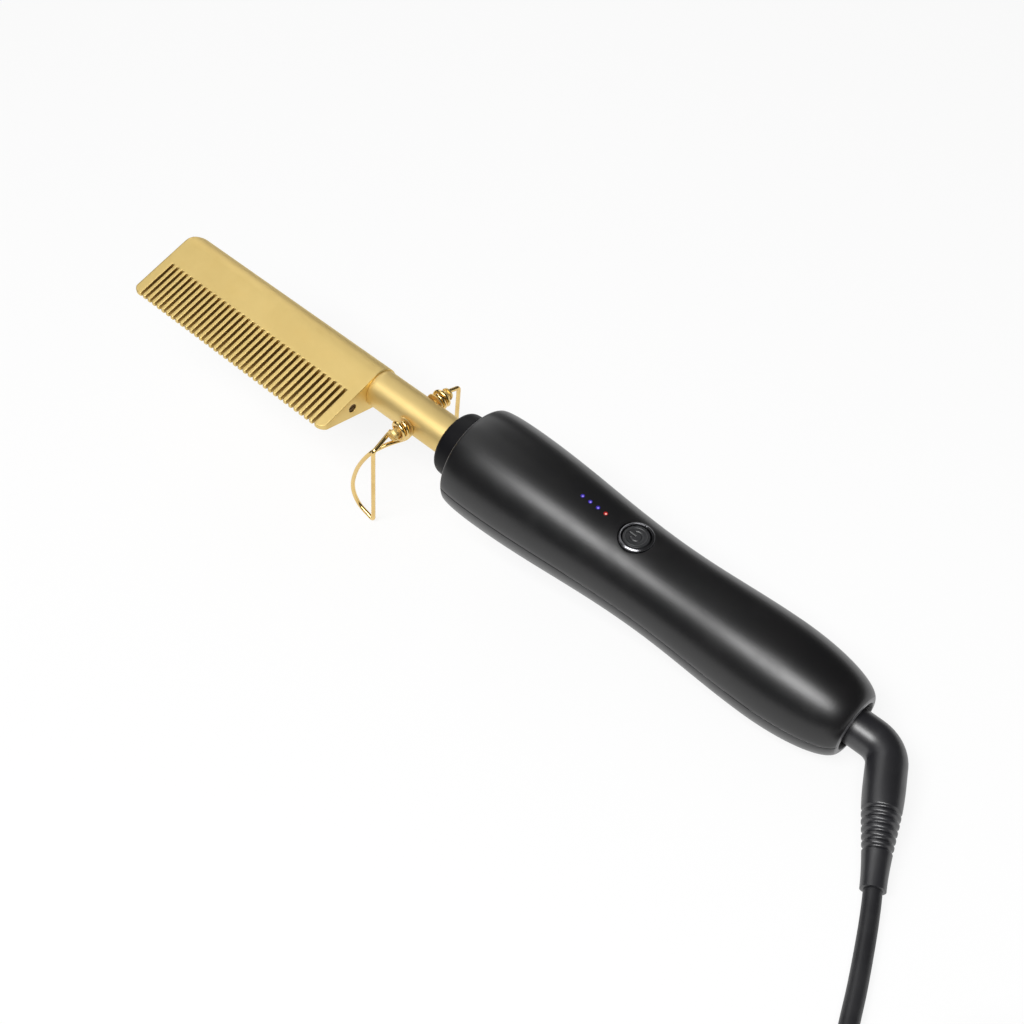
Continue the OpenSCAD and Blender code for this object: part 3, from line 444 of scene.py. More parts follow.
def bootLine():  # elbow's arc in the flat side's plane, and the way in which the boot leaves it
    angle = np.radians(np.linspace(0, cord["elbow"], 13))
    start = rearX + cord["neck"] - cord["bendRadius"] * math.tan(math.radians(cord["elbow"] / 2))
    arc = np.stack([start + cord["bendRadius"] * np.sin(angle), -cord["bendRadius"] * (1 - np.cos(angle)),
                    0 * angle], -1)
    way = np.array([math.cos(angle[-1]), -math.sin(angle[-1]), -cord["droop"]])
    return arc, way / np.linalg.norm(way)


def coilLine():  # radius runs in and out at a steady rate; height climbs a layer at each reversal
    turns = coil["turnsPerLayer"] * coil["layers"]
    t = np.linspace(0, turns, turns * coil["ringsPerTurn"] + 1)
    sawtooth = np.abs(1 - (t / coil["turnsPerLayer"]) % 2)
    radius = coil["inner"] + coil["turnsPerLayer"] * coil["step"] * sawtooth
    layer = np.round(t / coil["turnsPerLayer"])
    climb = np.clip((t - layer * coil["turnsPerLayer"]) / 0.5 + 0.5, 0, 1)
    steps = np.clip(layer - 1 + (1 - np.cos(np.pi * climb)) / 2, 0, coil["layers"] - 1)
    angle = np.radians(coil["startAngle"]) + 2 * np.pi * t
    return np.stack([coil["centre"][0] + radius * np.cos(angle), coil["centre"][1] + radius * np.sin(angle),
                     coil["floor"] + coil["layerHeight"] * steps], -1)


def flatWay(vector):  # unit vector of its part along the surface
    flat = np.array([vector[0], vector[1], 0.0])
    return flat / np.linalg.norm(flat)


def cordLine():
    # Smooth curve from the boot's end along the route to the coil, the coil, and a smooth curve down
    # round it to the plug. The curves meet boot, coil and plug along straight stretches.
    arc, way = bootLine()
    exitPoint = place([arc[-1] + cord["bootLength"] * way])[0] / mm
    exitWay = way @ combAxes
    turns = coilLine()
    straight = 2 * cord["radius"]
    entry = turns[0] + straight * flatWay(turns[0] - turns[1])
    leave = turns[-1] + straight * flatWay(turns[-1] - turns[-2])
    route = [exitPoint, exitPoint + straight * exitWay, *cord["route"],
             entry + straight * flatWay(turns[0] - turns[1]), entry]
    angle = np.radians([p[0] for p in tail["route"]])
    around = np.array([p[1] for p in tail["route"]])
    down = np.stack([coil["centre"][0] + around * np.cos(angle), coil["centre"][1] + around * np.sin(angle),
                     [p[2] for p in tail["route"]]], -1)
    plugAt = np.array([*coil["centre"], 0]) + tail["plugFromCentre"]
    plugWay = np.array([math.cos(math.radians(plug["turn"])), math.sin(math.radians(plug["turn"])), 0])
    ending = [leave, leave + straight * flatWay(turns[-1] - turns[-2]), *down,
              plugAt - 2 * straight * plugWay, plugAt - straight * plugWay, plugAt]
    path = np.concatenate([smoothCurve(route, 6)[:-1], smoothCurve([entry, turns[0]], 3)[:-1], turns,
                           smoothCurve([turns[-1], leave], 3)[1:-1], smoothCurve(ending, 6)])
    return path, plugAt, plugWay


cordPath, plugAt, plugWay = cordLine()
cordPiece = makePiece("power_cord", [swept(cordPath, cord["radius"], 14)], "swivel", "cord_black",
                      ["cord", "cord_coil", "cord_tail"], onFloor)


def headSection():  # where the flat sides leave the round back, and their slope
    edgeHalf = head["edge"] / 2
    far = math.hypot(head["reach"], edgeHalf)
    turn = math.atan2(edgeHalf, -head["reach"]) - math.acos(head["backRadius"] / far)
    startY, startZ = head["backRadius"] * math.cos(turn), head["backRadius"] * math.sin(turn)
    return turn, startY, (startZ - edgeHalf) / (startY + head["reach"])


def halfHeight(y):  # half the head's thickness: a circle at the back, a straight line to the teeth's edge
    _, startY, slope = headSection()
    flat = head["edge"] / 2 + slope * (y + head["reach"])
    return np.where(y > startY, np.sqrt(np.maximum(head["backRadius"] ** 2 - y ** 2, 0)), flat)


def edgeDrop(distance, radius):  # how far a rounded edge lies under the surface, at a distance from it
    inside = np.clip(radius - distance, 0, radius)
    return radius - np.sqrt(radius ** 2 - inside ** 2)


def makeHead():
    # Height field of half thickness over the plan, mirrored below, with a wall round every border.
    # Each edge falls along a quarter circle of its distance from the border, and the grid is dense there.
    length, reach, root = layout["headLength"], head["reach"], head["root"]
    centres = -head["endMargin"] - head["pitch"] * np.arange(head["slots"])[::-1]
    r, half = head["edgeRound"], head["slotWidth"] / 2
    edgeSteps = np.array([0, 0.08, 0.3, 0.65, 1.0]) * r
    columns = [centres[:, None] + s * (half + edgeSteps) for s in (-1, 1)]
    corner = head["corner"] * (1 - np.cos(np.radians(np.arange(0, 91, 11.25))))
    ends = np.concatenate([-length + corner, -corner, -np.array([0, 0.1, 0.35, 0.7]) * r])
    x = np.unique(np.round(np.concatenate([c.ravel() for c in columns] + [centres, ends]), 4))
    turn, startY, _ = headSection()
    tip = -reach + np.array([0, 0.03, 0.09, 0.18, 0.28, 0.5, 0.9, 1.5, 2.3, 3.2, 5, 7.5, 9.5])
    screwRows = np.linspace(*head["recessRows"], 13)
    above = -root + np.append(edgeSteps, 1.6 * r)
    back = head["backRadius"] * np.cos(np.linspace(turn, 0, 22))
    y = np.unique(np.round(np.concatenate([tip, screwRows, above, np.linspace(-9.5, startY, 5), back]), 4))
    X, Y = np.meshgrid(x, y, indexing="ij")
    slotGap = np.abs(X[..., None] - centres).min(-1) - half  # below zero inside a slot's width
    inTeeth = Y < -root + 1e-6
    fromEnd, fromFace = X + length, -X
    # the tips' outline: a large corner at each end, a small one on each tooth
    large = edgeDrop(np.minimum(fromEnd, fromFace), head["corner"])
    small = np.where(slotGap >= -1e-6, edgeDrop(np.maximum(slotGap, 0), head["tipRound"]), head["tipRound"])
    lift = np.maximum(large, small) * np.clip(1 - (Y + reach) / head["tipFade"], 0, 1) ** 2
    backPull = 1 - edgeDrop(fromEnd, head["corner"]) / head["backRadius"]
    warped = np.where(Y > 0, Y * backPull, Y + lift)
    height = np.where(Y > 0, halfHeight(Y), halfHeight(warped))
    # rounded edges: the slots' sides and their inner ends, the tips and both end faces
    toSlot = np.where(inTeeth, slotGap, np.hypot(np.maximum(slotGap, 0), Y + root))
    drops = [(np.maximum(toSlot, 0), r), (Y + reach, r), (fromFace, r), (fromEnd, head["endRound"])]
    inside = [np.clip(1 - distance / radius, 0, 1) for distance, radius in drops]
    nearest = np.minimum(np.sqrt(sum(i ** 2 for i in inside)), 1)
    radius = np.where(inside[3] > 0, head["endRound"], r)
    drop = radius * (1 - np.sqrt(1 - nearest ** 2))
    height = np.where(height > radius, height - drop, height * (1 - drop / radius))
    top = np.stack([X, warped, height], -1).reshape(-1, 3)
    bottom = top * [1, 1, -1]
    quads = gridFaces(len(x), len(y), False)
    middle = np.stack([X, Y], -1).reshape(-1, 2)[quads].mean(1)
    cut = (np.abs(middle[:, :1] - centres).min(1) < half) & (middle[:, 1] < -root)
    kept = quads[~cut]
    edges = np.concatenate([kept[:, [k, (k + 1) % 4]] for k in range(4)])
    key = np.sort(edges, 1)
    _, first, count = np.unique(key, axis=0, return_index=True, return_counts=True)
    border = edges[first[count == 1]]
    onFace = (np.abs(X.ravel()[border]) < 1e-6).all(1)
    low, high = head["recessRows"]
    inRecess = onFace & (Y.ravel()[border] > low - 1e-6).all(1) & (Y.ravel()[border] < high + 1e-6).all(1)
    wall = border[~inRecess]
    size = len(top)
    walls = np.stack([wall[:, 1], wall[:, 0], wall[:, 0] + size, wall[:, 1] + size], -1)
    parts = [(np.concatenate([top, bottom]), np.concatenate([kept, kept[:, ::-1] + size, walls])),
             endRecess(top.reshape(len(x), len(y), 3)[-1][(y > low - 1e-6) & (y < high + 1e-6)])]
    return makePiece("comb_body", parts, "comb", "head_gold", ["comb_head"], sharp=50)


def endRecess(rim):  # end face round the fastener's recess: its border runs over the top and back below
    loop = np.concatenate([rim, rim[::-1] * [1, 1, -1]])
    angle = np.pi * (1 - (np.arange(len(loop)) + 0.5) * 2 / len(loop))
    circle = np.stack([0 * angle, np.cos(angle), np.sin(angle)], -1)
    centre = np.array([0, head["recessY"], 0])
    radius, floor = head["recessRadius"], head["recessDepth"]
    bore = [centre + circle * r - [depth, 0, 0] for r, depth in
            ((radius + 0.22, 0), (radius + 0.06, 0.05), (radius, 0.2), (radius, floor), (0, floor))]
    return surface(np.stack([loop, (loop + bore[0]) / 2, *bore]))


neck = {"radius": 6.7, "bore": 5.0, "spigot": 5.9, "spigotDepth": 14, "tail": 16, "edge": 0.25}


def makeTube():  # profile from the spigot in the head over a rounded shoulder, closed along the bore
    start, end, edge = -neck["spigotDepth"], frontX + neck["tail"], neck["edge"]
    radius, bore, spigot = neck["radius"], neck["bore"], neck["spigot"]
    profile = [[start, bore], [start, spigot], [0, spigot], [0.02, radius - edge], [0.1, radius - 0.07],
               [edge, radius], *[[x, radius] for x in np.linspace(2, end - 1, 24)], [end, radius],
               [end, bore], [start, bore]]
    return makePiece("neck_sleeve", [turned(profile)], "comb", "tube_gold", ["neck_tube"])


# Wire stand, from its pivot; its eye ends after so many degrees
stand = {"wire": 1.5, "pivot": (19, 0, 1), "eyeRadius": 2.75, "eyeEnd": 585, "eyeGap": 0.2, "washer": 0.4,
         "seatGap": 0.3, "legSpread": 20, "legDrop": 42, "footLead": 5.5, "knee": (-2, -3.8),
         "bow": [[-8.1, -19.8, -41.5], [-12.1, -19.9, -39.4], [-14.3, -20, -35.2], [-14.6, -20, -30.3],
                 [-13.5, -19.9, -25.2], [-11.1, -19.7, -18.7], [-7.8, -19.1, -12.2], [-4.8, -17.7, -7.5],
                 [-3, -15, -5.9], [-1.8, -12, -5.6], [-1.1, -9, -6.3], [-1.3, -6, -7.8], [-2, -3, -8.55],
                 [-2, 0, -8.55]]}


def standLine():
    # One side: a helix round the pivot, an arm to the knee, a leg to the foot, a round bow back up
    # inside the knee and on under the tube. The other side mirrors it.
    wire, spread, dropped = stand["wire"], stand["legSpread"], stand["legDrop"]
    start = neck["radius"] + stand["washer"] + wire / 2 + stand["seatGap"]
    a = np.radians(np.arange(0, stand["eyeEnd"] + 1, 7.5))
    turns = np.stack([stand["eyeRadius"] * np.sin(a), -start - (wire + stand["eyeGap"]) * a / (2 * np.pi),
                      stand["eyeRadius"] * np.cos(a)], -1)
    leave = turns[-1]
    knee = np.array([stand["knee"][0], -spread, stand["knee"][1]])
    foot = np.array([-stand["footLead"], -spread, -dropped])
    corners = [leave, leave + [-0.9, -0.6, 0.3], knee, foot + [0, 0, 1], foot + [-0.9, 0.1, 0],
               stand["bow"][0]]
    leg = filletCorners(corners, [0, 0.8, 1.3, 0.5, 0.5, 0], 8)
    side = np.concatenate([turns, leg[1:-1], smoothCurve(stand["bow"], 8)])
    return np.concatenate([side, side[-2::-1] * [1, -1, 1]]) + stand["pivot"]


def makeStand():  # round wire whose two ends are a little thinner
    path = standLine()
    ends = np.arange(len(path))
    fromEnd = np.minimum(ends, ends[::-1])
    radius = stand["wire"] / 2 * np.where(fromEnd == 0, 0.82, 1.0)
    return makePiece("stand_frame", [swept(path, radius, 14)], "stand", "wire_gold", ["stand_wire"], sharp=60)


collar = {"front": 11.2, "root": 12, "bore": 6.8, "bevel": 1.0, "flange": 13.4, "flangeWidth": 3.4,
          "flangeX": 50.7}


def makeCollar():  # cone that widens into the handle and ends in a flange inside it, with rounded corners
    front, root, bore, flange = collar["front"], collar["root"], collar["bore"], collar["flange"]
    end = collar["flangeX"]
    step = end - collar["flangeWidth"]
    profile = filletCorners([[collarX, bore], [collarX, front - 0.5], [collarX + collar["bevel"], front],
                             [frontX, root], [step, root], [step, flange], [end, flange], [end, bore],
                             [collarX, bore]], [0, 0.6, 0.5, 1.5, 0.1, 0.1, 0.1, 0.1, 0], 5)
    return makePiece("heat_collar", [turned(profile)], "comb", "collar_black", ["collar"], sharp=50)


handle = {"front": 17.2, "grip": 18.3, "waist": 14.9, "heel": 16.1, "rear": 8.7, "gripX": 11, "waistX": 78,
          "heelFromRear": 29, "wall": 2.2, "rearHole": 6.1, "recess": 2.2, "lip": 0.7, "seamRound": 0.3,
          "seamGap": 0.05, "holeRadius": 5.6, "edge": 0.5, "rearWall": 2.9, "meanRadius": 17,
          "patchHalf": 7.5, "patchAngle": 30}


def handleRadius(x):  # quarter-ellipse ends, half-cosine runs between the grip, the waist and the heel
    x = np.asarray(x, float)
    gripX, waistX, heelX = frontX + handle["gripX"], frontX + handle["waistX"], rearX - handle["heelFromRear"]

    def bulge(t):
        return 1 - np.sqrt(np.maximum(0, 1 - np.clip(t, 0, 1) ** 2))

    def ease(t):
        return (1 - np.cos(np.pi * np.clip(t, 0, 1))) / 2

    grip, waist, heel = handle["grip"], handle["waist"], handle["heel"]
    front = grip - (grip - handle["front"]) * bulge((gripX - x) / handle["gripX"])
    middle = grip + (waist - grip) * ease((x - gripX) / (waistX - gripX))
    rise = waist + (heel - waist) * ease((x - waistX) / (heelX - waistX))
    rear = heel - (heel - handle["rear"]) * bulge((x - heelX) / (rearX - heelX))
    return np.select([x < gripX, x < waistX, x < heelX], [front, middle, rise], rear)


def makeShell(name, replaced, top):
    # Outer and inner skin over the same grid of stations and angles, joined at the rims and the seam.
    # The upper one leaves a patch of cells out round the button and fills it in to a round hole.
    edge, wall = handle["edge"], handle["wall"]
    heelX = rearX - handle["heelFromRear"]
    holeSpan = np.linspace(-1, 1, 11) * handle["patchHalf"] + buttonX
    tailX = heelX + handle["heelFromRear"] * np.sin(np.radians(np.linspace(4, 89.2, 34)))
    x = np.unique(np.round(np.concatenate([frontX + edge * (1 - np.cos(np.radians([0, 30, 60, 90]))),
                                           np.arange(frontX + 1, holeSpan[0] - 1, 1.25), holeSpan,
                                           np.arange(holeSpan[-1] + 1.2, heelX + 1, 1.25), tailX]), 4))
    seam = handle["seamRound"]
    near = np.array([0, 0.15, 0.5, 1.0]) * seam / handle["meanRadius"]
    angle = np.unique(np.round(np.concatenate([near - np.pi / 2, -near + np.pi / 2,
                                               np.radians(np.linspace(-84, -32, 18)),
                                               np.radians(np.linspace(-30, 30, 13)),
                                               np.radians(np.linspace(32, 84, 18))]), 6))
    X, A = np.meshgrid(x, angle, indexing="ij")
    outer = handleRadius(X) - edgeDrop(X - frontX, edge)
    outer = outer - edgeDrop((np.pi / 2 - np.abs(A)) * handle["meanRadius"], seam)
    inner = handleRadius(X) - wall
    innerX = np.clip(X, frontX + wall, rearX - handle["rearWall"])
    sign = 1 if top else -1

    def skin(radius, stations):
        height = sign * np.maximum(radius * np.cos(A), handle["seamGap"])
        return np.stack([stations, radius * np.sin(A), height], -1)

    outside, inside = skin(outer, X), skin(inner, innerX)
    rows, columns = X.shape
    quads = gridFaces(rows, columns, False)
    grid = np.arange(rows * columns).reshape(rows, columns)
    parts = []
    if top:
        iCut = np.where((x > holeSpan[0] - 1e-6) & (x < holeSpan[-1] + 1e-6))[0]
        jCut = np.where(np.abs(angle) < np.radians(handle["patchAngle"] + 0.1))[0]
        block = grid[iCut[0]:iCut[-1], jCut[0]:jCut[-1]].ravel()
        quads = quads[~np.isin(quads[:, 0], block)]
        loop = np.concatenate([grid[iCut, jCut[0]][:-1], grid[iCut[-1], jCut][:-1],
                               grid[iCut[::-1], jCut[-1]][:-1], grid[iCut[0], jCut[::-1]][:-1]])
        outerRim, innerRim = outside.reshape(-1, 3)[loop], inside.reshape(-1, 3)[loop]
        outerHole, innerHole = holePatch(outerRim, 0), holePatch(innerRim, wall)
        parts += [surface(outerHole), surface(innerHole),
                  surface(np.stack([outerHole[-1], outerHole[-1] - [0, 0, 0.3], innerHole[-1]]))]
    for skinned in (outside, inside):
        parts.append((skinned.reshape(-1, 3), quads))
    parts.append(surface(np.stack([outside[:, 0], inside[:, 0]]), False))
    parts.append(surface(np.stack([outside[:, -1], inside[:, -1]]), False))
    parts += rims(outside, inside, A[0], sign)
    return makePiece(name, parts, "comb", "handle_black", replaced, sharp=42)


def holePatch(rim, depth):  # rings from the cells' border to the hole, each point laid on the skin
    angle = np.arctan2(rim[:, 1], rim[:, 0] - buttonX)
    hole = handle["holeRadius"]
    ring = np.stack([buttonX + hole * np.cos(angle), hole * np.sin(angle)], -1)
    t = np.array([0, 0.3, 0.6, 0.85, 0.96, 1.0])[:, None, None]
    flat = (1 - t) * rim[:, :2] + t * ring
    height = np.sqrt((handleRadius(flat[..., 0]) - depth) ** 2 - flat[..., 1] ** 2)
    drop = edgeDrop(np.hypot(flat[..., 0] - buttonX, flat[..., 1]) - hole, 0.18) * (depth == 0)
    patch = np.concatenate([flat, (height - drop)[..., None]], -1)
    patch[0] = rim
    return patch


def rims(outside, inside, angle, sign):  # front face, and the rear lip with the recess round the cord's boot
    def arc(x, radius):
        return np.stack([0 * angle + x, radius * np.sin(angle),
                         sign * np.maximum(radius * np.cos(angle), handle["seamGap"])], -1)

    frontBore = collar["root"] + 0.05
    front = [outside[0], arc(frontX, 15), arc(frontX, frontBore), arc(frontX + handle["wall"], frontBore),
             inside[0]]
    rear, hole, floor = handle["rear"], handle["rearHole"], rearX - handle["recess"]
    lip = rear - handle["lip"]
    back = [outside[-1], arc(rearX, rear - 0.12), arc(rearX, lip + 0.1), arc(rearX - 0.12, lip),
            arc(floor, lip - 0.15), arc(floor, hole), arc(rearX - handle["rearWall"], hole), inside[-1]]
    return [surface(np.stack(front), False), surface(np.stack(back), False)]


crown = float(handleRadius(buttonX))
button = {"radius": 4.2, "top": crown + 0.1, "foot": crown - 5.3, "edge": 0.4, "dish": 0.16, "rimAt": 3.35,
          "rimWidth": 0.24, "rimHeight": 0.12, "markRadius": 1.8, "markWidth": 0.42, "markDepth": 0.24,
          "gapAngle": 38}
bezel = {"outer": 5.55, "bore": 4.36, "top": crown + 0.35, "foot": crown - 5.1, "flange": 6.45}


def aroundButton(profile, sides):  # [radius, height] turned round the button's axis
    profile = np.asarray(profile, float)
    angle = np.linspace(0, 2 * np.pi, sides, endpoint=False)
    radius, height = profile[:, :1], np.broadcast_to(profile[:, 1:], (len(profile), sides))
    return surface(np.stack([buttonX + radius * np.cos(angle), radius * np.sin(angle), height], -1))


def makeBezel():  # ring with a bevel inside, a rounded crown, a broad bevel outside and a flange at its foot
    top, foot, bore, outer, flange = (bezel[k] for k in ("top", "foot", "bore", "outer", "flange"))
    profile = filletCorners([[bore, foot], [bore, top - 0.9], [bore + 0.12, top - 0.5],
                             [bore + 0.4, top - 0.04], [bore + 0.52, top], [outer - 0.5, top - 0.06],
                             [outer, top - 0.42], [outer, foot + 1], [flange, foot + 1], [flange, foot],
                             [bore, foot]], [0, 0.12, 0.1, 0.1, 0.06, 0.3, 0.16, 0.1, 0.1, 0.1, 0], 5)
    return makePiece("button_ring", [aroundButton(profile, 128)], "comb", "bezel_silver", ["button_bezel"],
                     sharp=50)


def ridge(distance, width):  # 1 on a line, falling smoothly to 0 at its width
    return np.clip(1 - (distance / width) ** 2, 0, 1) ** 1.5


def makeButton():
    # Height of the top over polar rings: a shallow dish, a raised line near the rim, and the power mark
    # cut in as a broken ring and a bar that point to the comb's head.
    rings = np.concatenate([np.linspace(0, button["radius"] - button["edge"], 56),
                            button["radius"] - button["edge"] * np.cos(np.radians([18, 36, 54, 72, 90]))])
    angle = np.linspace(0, 2 * np.pi, 168, endpoint=False)
    R, A = np.meshgrid(rings, angle, indexing="ij")
    px, py = R * np.cos(A), R * np.sin(A)
    dish = -button["dish"] * (1 - (R / button["radius"]) ** 2)
    raised = button["rimHeight"] * ridge(R - button["rimAt"], button["rimWidth"])
    fromGap = np.degrees(np.abs(A - np.pi))
    ringMark = ridge(R - button["markRadius"], button["markWidth"]) * np.clip(
        (fromGap - button["gapAngle"]) / 6, 0, 1)
    along = np.clip(px, -2.5, -0.3)
    barMark = ridge(np.hypot(px - along, py), button["markWidth"])
    fall = edgeDrop(button["radius"] - R, button["edge"])
    height = button["top"] + dish + raised - fall - button["markDepth"] * np.maximum(ringMark, barMark)
    cap = surface(np.stack([buttonX + px, py, height], -1))
    radius, foot = button["radius"], button["foot"]
    skirt = aroundButton([[radius, button["top"] - button["edge"]], [radius, foot], [0, foot]], 168)
    return makePiece("power_button", [cap, skirt], "button", "button_black", ["button_cap"], sharp=60)


boot = {"radius": 5.8, "end": 3.5, "ribs": 6, "ribPitch": 2.15, "ribDepth": 0.55, "ribFirst": 13.2,
        "taperFrom": 6}


def makeBoot():
    # Circle carried along the neck, the elbow and the leg. Its radius eases from the neck's to the
    # cord's, less a rounded groove at each rib.
    arc, way = bootLine()
    length, first, taper = cord["bootLength"], boot["ribFirst"], boot["taperFrom"]
    ribbedLength = boot["ribs"] * boot["ribPitch"]
    s = np.unique(np.concatenate([np.linspace(0, first, 10), first + np.arange(0, ribbedLength, 0.2),
                                  np.linspace(first + ribbedLength, length, 14)]))
    ease = (1 - np.cos(np.pi * np.clip((s - taper) / (length - taper), 0, 1))) / 2
    radius = boot["radius"] + (boot["end"] - boot["radius"]) * ease
    phase = (s - first) / boot["ribPitch"]
    ribbed = (phase > 0) & (phase < boot["ribs"])
    radius = radius - boot["ribDepth"] * np.where(ribbed, ridge(phase % 1 - 0.42, 0.34), 0)
    neckX = np.array([rearX - 2.5, rearX - 1, rearX, rearX + 1.5, rearX + 3, (rearX + 3 + arc[0, 0]) / 2])
    path = np.concatenate([np.stack([neckX, 0 * neckX, 0 * neckX], -1), arc, arc[-1] + s[1:, None] * way])
    radii = np.concatenate([np.full(len(neckX) + len(arc), boot["radius"]), radius[1:]])
    radii[-1] = boot["end"] - 0.5
    path = np.concatenate([path[:-1], path[-2:-1] + (path[-1:] - path[-2:-1]) * 0.75, path[-1:]])
    radii = np.concatenate([radii[:-1], [boot["end"]], radii[-1:]])
    return makePiece("elbow_boot", [swept(path, radii, 56)], "swivel", "boot_black", ["cord_boot"], sharp=60)


# Band round the coil; its angle is degrees round the coil
tie = {"angle": 60, "width": 14, "wall": 0.8, "corner": 2.0}


def makeTie():
    # Rounded rectangle round the bundle of turns, along which a thin superellipse is carried
    clearance = cord["radius"] + 0.6
    low, high = coil["inner"] - clearance, coil["inner"] + coil["turnsPerLayer"] * coil["step"] + clearance
    top = coil["floor"] + (coil["layers"] - 1) * coil["layerHeight"] + cord["radius"] + 0.2
    half = tie["wall"] / 2
    corners = [[(low + high) / 2, half], [high + half, half], [high + half, top + half],
               [low - half, top + half], [low - half, half], [(low + high) / 2, half]]
    loop = filletCorners(corners, [0, *[tie["corner"]] * 4, 0], 6)
    tangent = np.gradient(loop, axis=0)
    tangent[0] = tangent[-1] = [1, 0]
    tangent /= np.linalg.norm(tangent, axis=1, keepdims=True)
    outward = np.stack([tangent[:, 1], -tangent[:, 0]], -1)
    a = np.linspace(0, 2 * np.pi, 28, endpoint=False)
    across = np.sign(np.cos(a)) * np.abs(np.cos(a)) ** 0.25 * tie["width"] / 2
    out = np.sign(np.sin(a)) * np.abs(np.sin(a)) ** 0.5 * half * 0.96
    radial = loop[:, :1] + outward[:, :1] * out
    height = loop[:, 1:] + outward[:, 1:] * out
    turn = math.radians(tie["angle"])
    side = np.broadcast_to(across, radial.shape)
    points = np.stack([coil["centre"][0] + radial * math.cos(turn) - side * math.sin(turn),
                       coil["centre"][1] + radial * math.sin(turn) + side * math.cos(turn), height], -1)
    return makePiece("cord_band", [surface(points)], "swivel", "tie_black", ["cord_tie"], onFloor)


def makePlug():
    # Superellipse sections along the plug: a ribbed relief that opens into a flat grip with pinched sides.
    # Where it opens, the sections sink by up to a millimetre, so that the grip lies on the surface.
    relief, length = plug["relief"], plug["relief"] + plug["length"]
    s = np.concatenate([[0.2], np.linspace(0.3, relief - 0.5, 80), np.linspace(relief, length - 1, 40),
                        length - 1 + np.sin(np.radians([20, 40, 60, 80, 90]))])
    grow = (1 - np.cos(np.pi * np.clip((s - relief + 3) / 11, 0, 1))) / 2
    taper = np.clip(s / relief, 0, 1)
    ribbed = (s > 2.5) & (s < relief - 4)
    groove = plug["grooveDepth"] * np.where(ribbed, ridge((s / plug["groovePitch"]) % 1 - 0.5, 0.36), 0)
    end = edgeDrop(length - s, 1.0)
    reliefEnd = plug["neckRadius"] + plug["reliefTaper"]
    base = plug["neckRadius"] + plug["reliefTaper"] * taper - groove - end
    width = base + (plug["halfWidth"] - reliefEnd) * grow
    thickness = base + (plug["halfHeight"] - reliefEnd) * grow
    power = 2 + 2.4 * grow
    a = np.linspace(0, 2 * np.pi, 72, endpoint=False)
    cosine, sine = np.cos(a), np.sin(a)
    side = np.sign(cosine) * np.abs(cosine) ** (2 / power[:, None]) * width[:, None]
    grip = plug["grip"] * np.clip(1 - ((s - relief - 12) / 6) ** 2, 0, 1)[:, None] * np.abs(cosine) ** 3
    side = side - np.sign(cosine) * grip
    height = np.sign(sine) * np.abs(sine) ** (2 / power[:, None]) * thickness[:, None] - grow[:, None]
    across = np.array([-plugWay[1], plugWay[0], 0])
    points = plugAt + s[:, None, None] * plugWay + side[..., None] * across + height[..., None] * [0, 0, 1.0]
    closing = [points[i].mean(0) + 0 * points[i] for i in (0, -1)]
    points = np.concatenate([closing[0][None], points, closing[1][None]])
    return makePiece("plug_grip", [surface(points)], "swivel", "plug_black", ["plug_body"], onFloor, sharp=50)


makeHead()
makeTube()
makeStand()
makeCollar()
makeShell("upper_shell", ["handle_top"], True)
makeShell("lower_shell", ["handle_bottom"], False)
makeBezel()
makeButton()
elbowBoot = makeBoot()
cordBand = makeTie()
plugGrip = makePlug()
tuple(cordPath[0] * mm)
(cordPath * mm).tolist()

# The lamps' lenses, then the CAD nodes that stay: each takes the finish of its slot in the record
materials.update({name: makeLamp(name, **values) for name, values in lampGlow.items()})
slotOf = {part["node"]: part["material_slot"] for part in frame["record"]["subparts"]}
for node, thing in frame["nodes"].items():
    thing.data.materials.clear()
    thing.data.materials.append(materials[slotOf[node]])
print("stage: finishes on", len(slotOf), "nodes")

# Floor, world and lamps, in metres; a lamp's radiance is what a mirror would show of it
studio = {"floorColour": (0.88, 0.88, 0.88), "floorSize": 8.0, "floorLift": 0.86, "sky": 0.08,
          "lamps": {"long": dict(place=(0.28, -0.56, 0.95), size=(0.98, 0.40), radiance=11.6),
                    "wide": dict(place=(-0.62, 0.04, 1.0), size=(0.72, 1.0), radiance=0.75),
                    "back": dict(place=(-0.78, 0.72, 0.72), size=(0.6, 0.8), radiance=1.5)}}


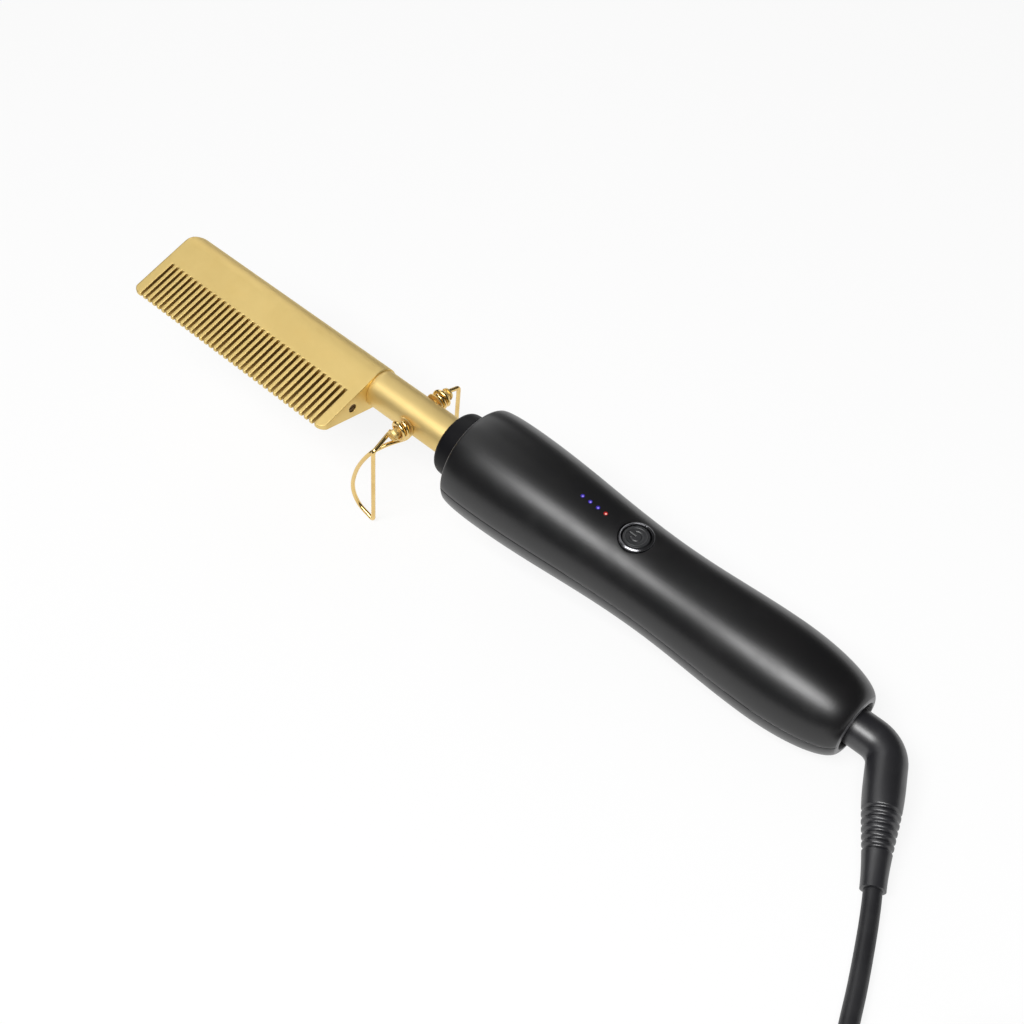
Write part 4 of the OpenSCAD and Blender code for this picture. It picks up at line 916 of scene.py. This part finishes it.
def seenOrMirrored(shader):  # 1 for rays from the camera and in reflections, 0 for the light on surfaces
    rays = shader.node("LightPath")
    tree = shader.tree
    path = rays.out.node
    seen, glossy, through = (Socket(tree, path.outputs[name]) for name in
                             ("Is Camera Ray", "Is Glossy Ray", "Is Transmission Ray"))
    return seen.maths("MAXIMUM", seen, glossy.maths("MAXIMUM", glossy, through))


def makeFloor():  # white paper that glows for rays that see or mirror it, and is shaded for the rest
    half = studio["floorSize"] / 2
    mesh = bpy.data.meshes.new("floor")
    corners = [(-half, -half, 0), (half, -half, 0), (half, half, 0), (-half, half, 0)]
    mesh.from_pydata(corners, [], [(0, 1, 2, 3)])
    floor = bpy.data.objects.new("floor", mesh)
    bpy.context.scene.collection.objects.link(floor)
    material, shader = newShader("floor_paper")
    grainField = noise(shader, objectCoords(shader), 900)
    shade = grainField.mixColour(studio["floorColour"], tuple(c * 0.99 for c in studio["floorColour"]))
    paper = shader.node("BsdfDiffuse", None, {"Color": shade})
    glow = shader.node("Emission", None, {"Color": (1, 1, 1, 1), "Strength": 1.0})
    factor = seenOrMirrored(shader) * studio["floorLift"]
    mixed = shader.node("MixShader", None, {0: factor, 1: paper, 2: glow})
    shader.node("OutputMaterial", None, {"Surface": mixed})
    mesh.materials.append(material)


def makeWorld():  # one even colour
    world = bpy.data.worlds.new("studio")
    world.use_nodes = True
    world.node_tree.nodes.clear()
    shader = Socket(world.node_tree)
    sky = shader.node("Background", None, {"Color": (1, 1, 1, 1), "Strength": studio["sky"]})
    shader.node("OutputWorld", None, {"Surface": sky})
    bpy.context.scene.world = world


def makeLamps():  # area lamps that face the comb's middle; energy is radiance times area times pi
    for name, lamp in studio["lamps"].items():
        data = bpy.data.lights.new(name, "AREA")
        data.shape = "RECTANGLE"
        data.size, data.size_y = lamp["size"]
        data.energy = lamp["radiance"] * data.size * data.size_y * math.pi
        shine = bpy.data.objects.new(name, data)
        towards = (Vector((0.03, 0, 0.03)) - Vector(lamp["place"])).normalized()
        across = towards.cross(Vector((1, 0, 0))).normalized()
        shine.matrix_world = Matrix.Translation(lamp["place"]) @ Matrix(
            (across.cross(towards), across, -towards)).transposed().to_4x4()
        bpy.context.scene.collection.objects.link(shine)


makeFloor()
makeWorld()
makeLamps()
bpy.context.scene.view_settings.view_transform = "Standard"
print("stage: studio ready")
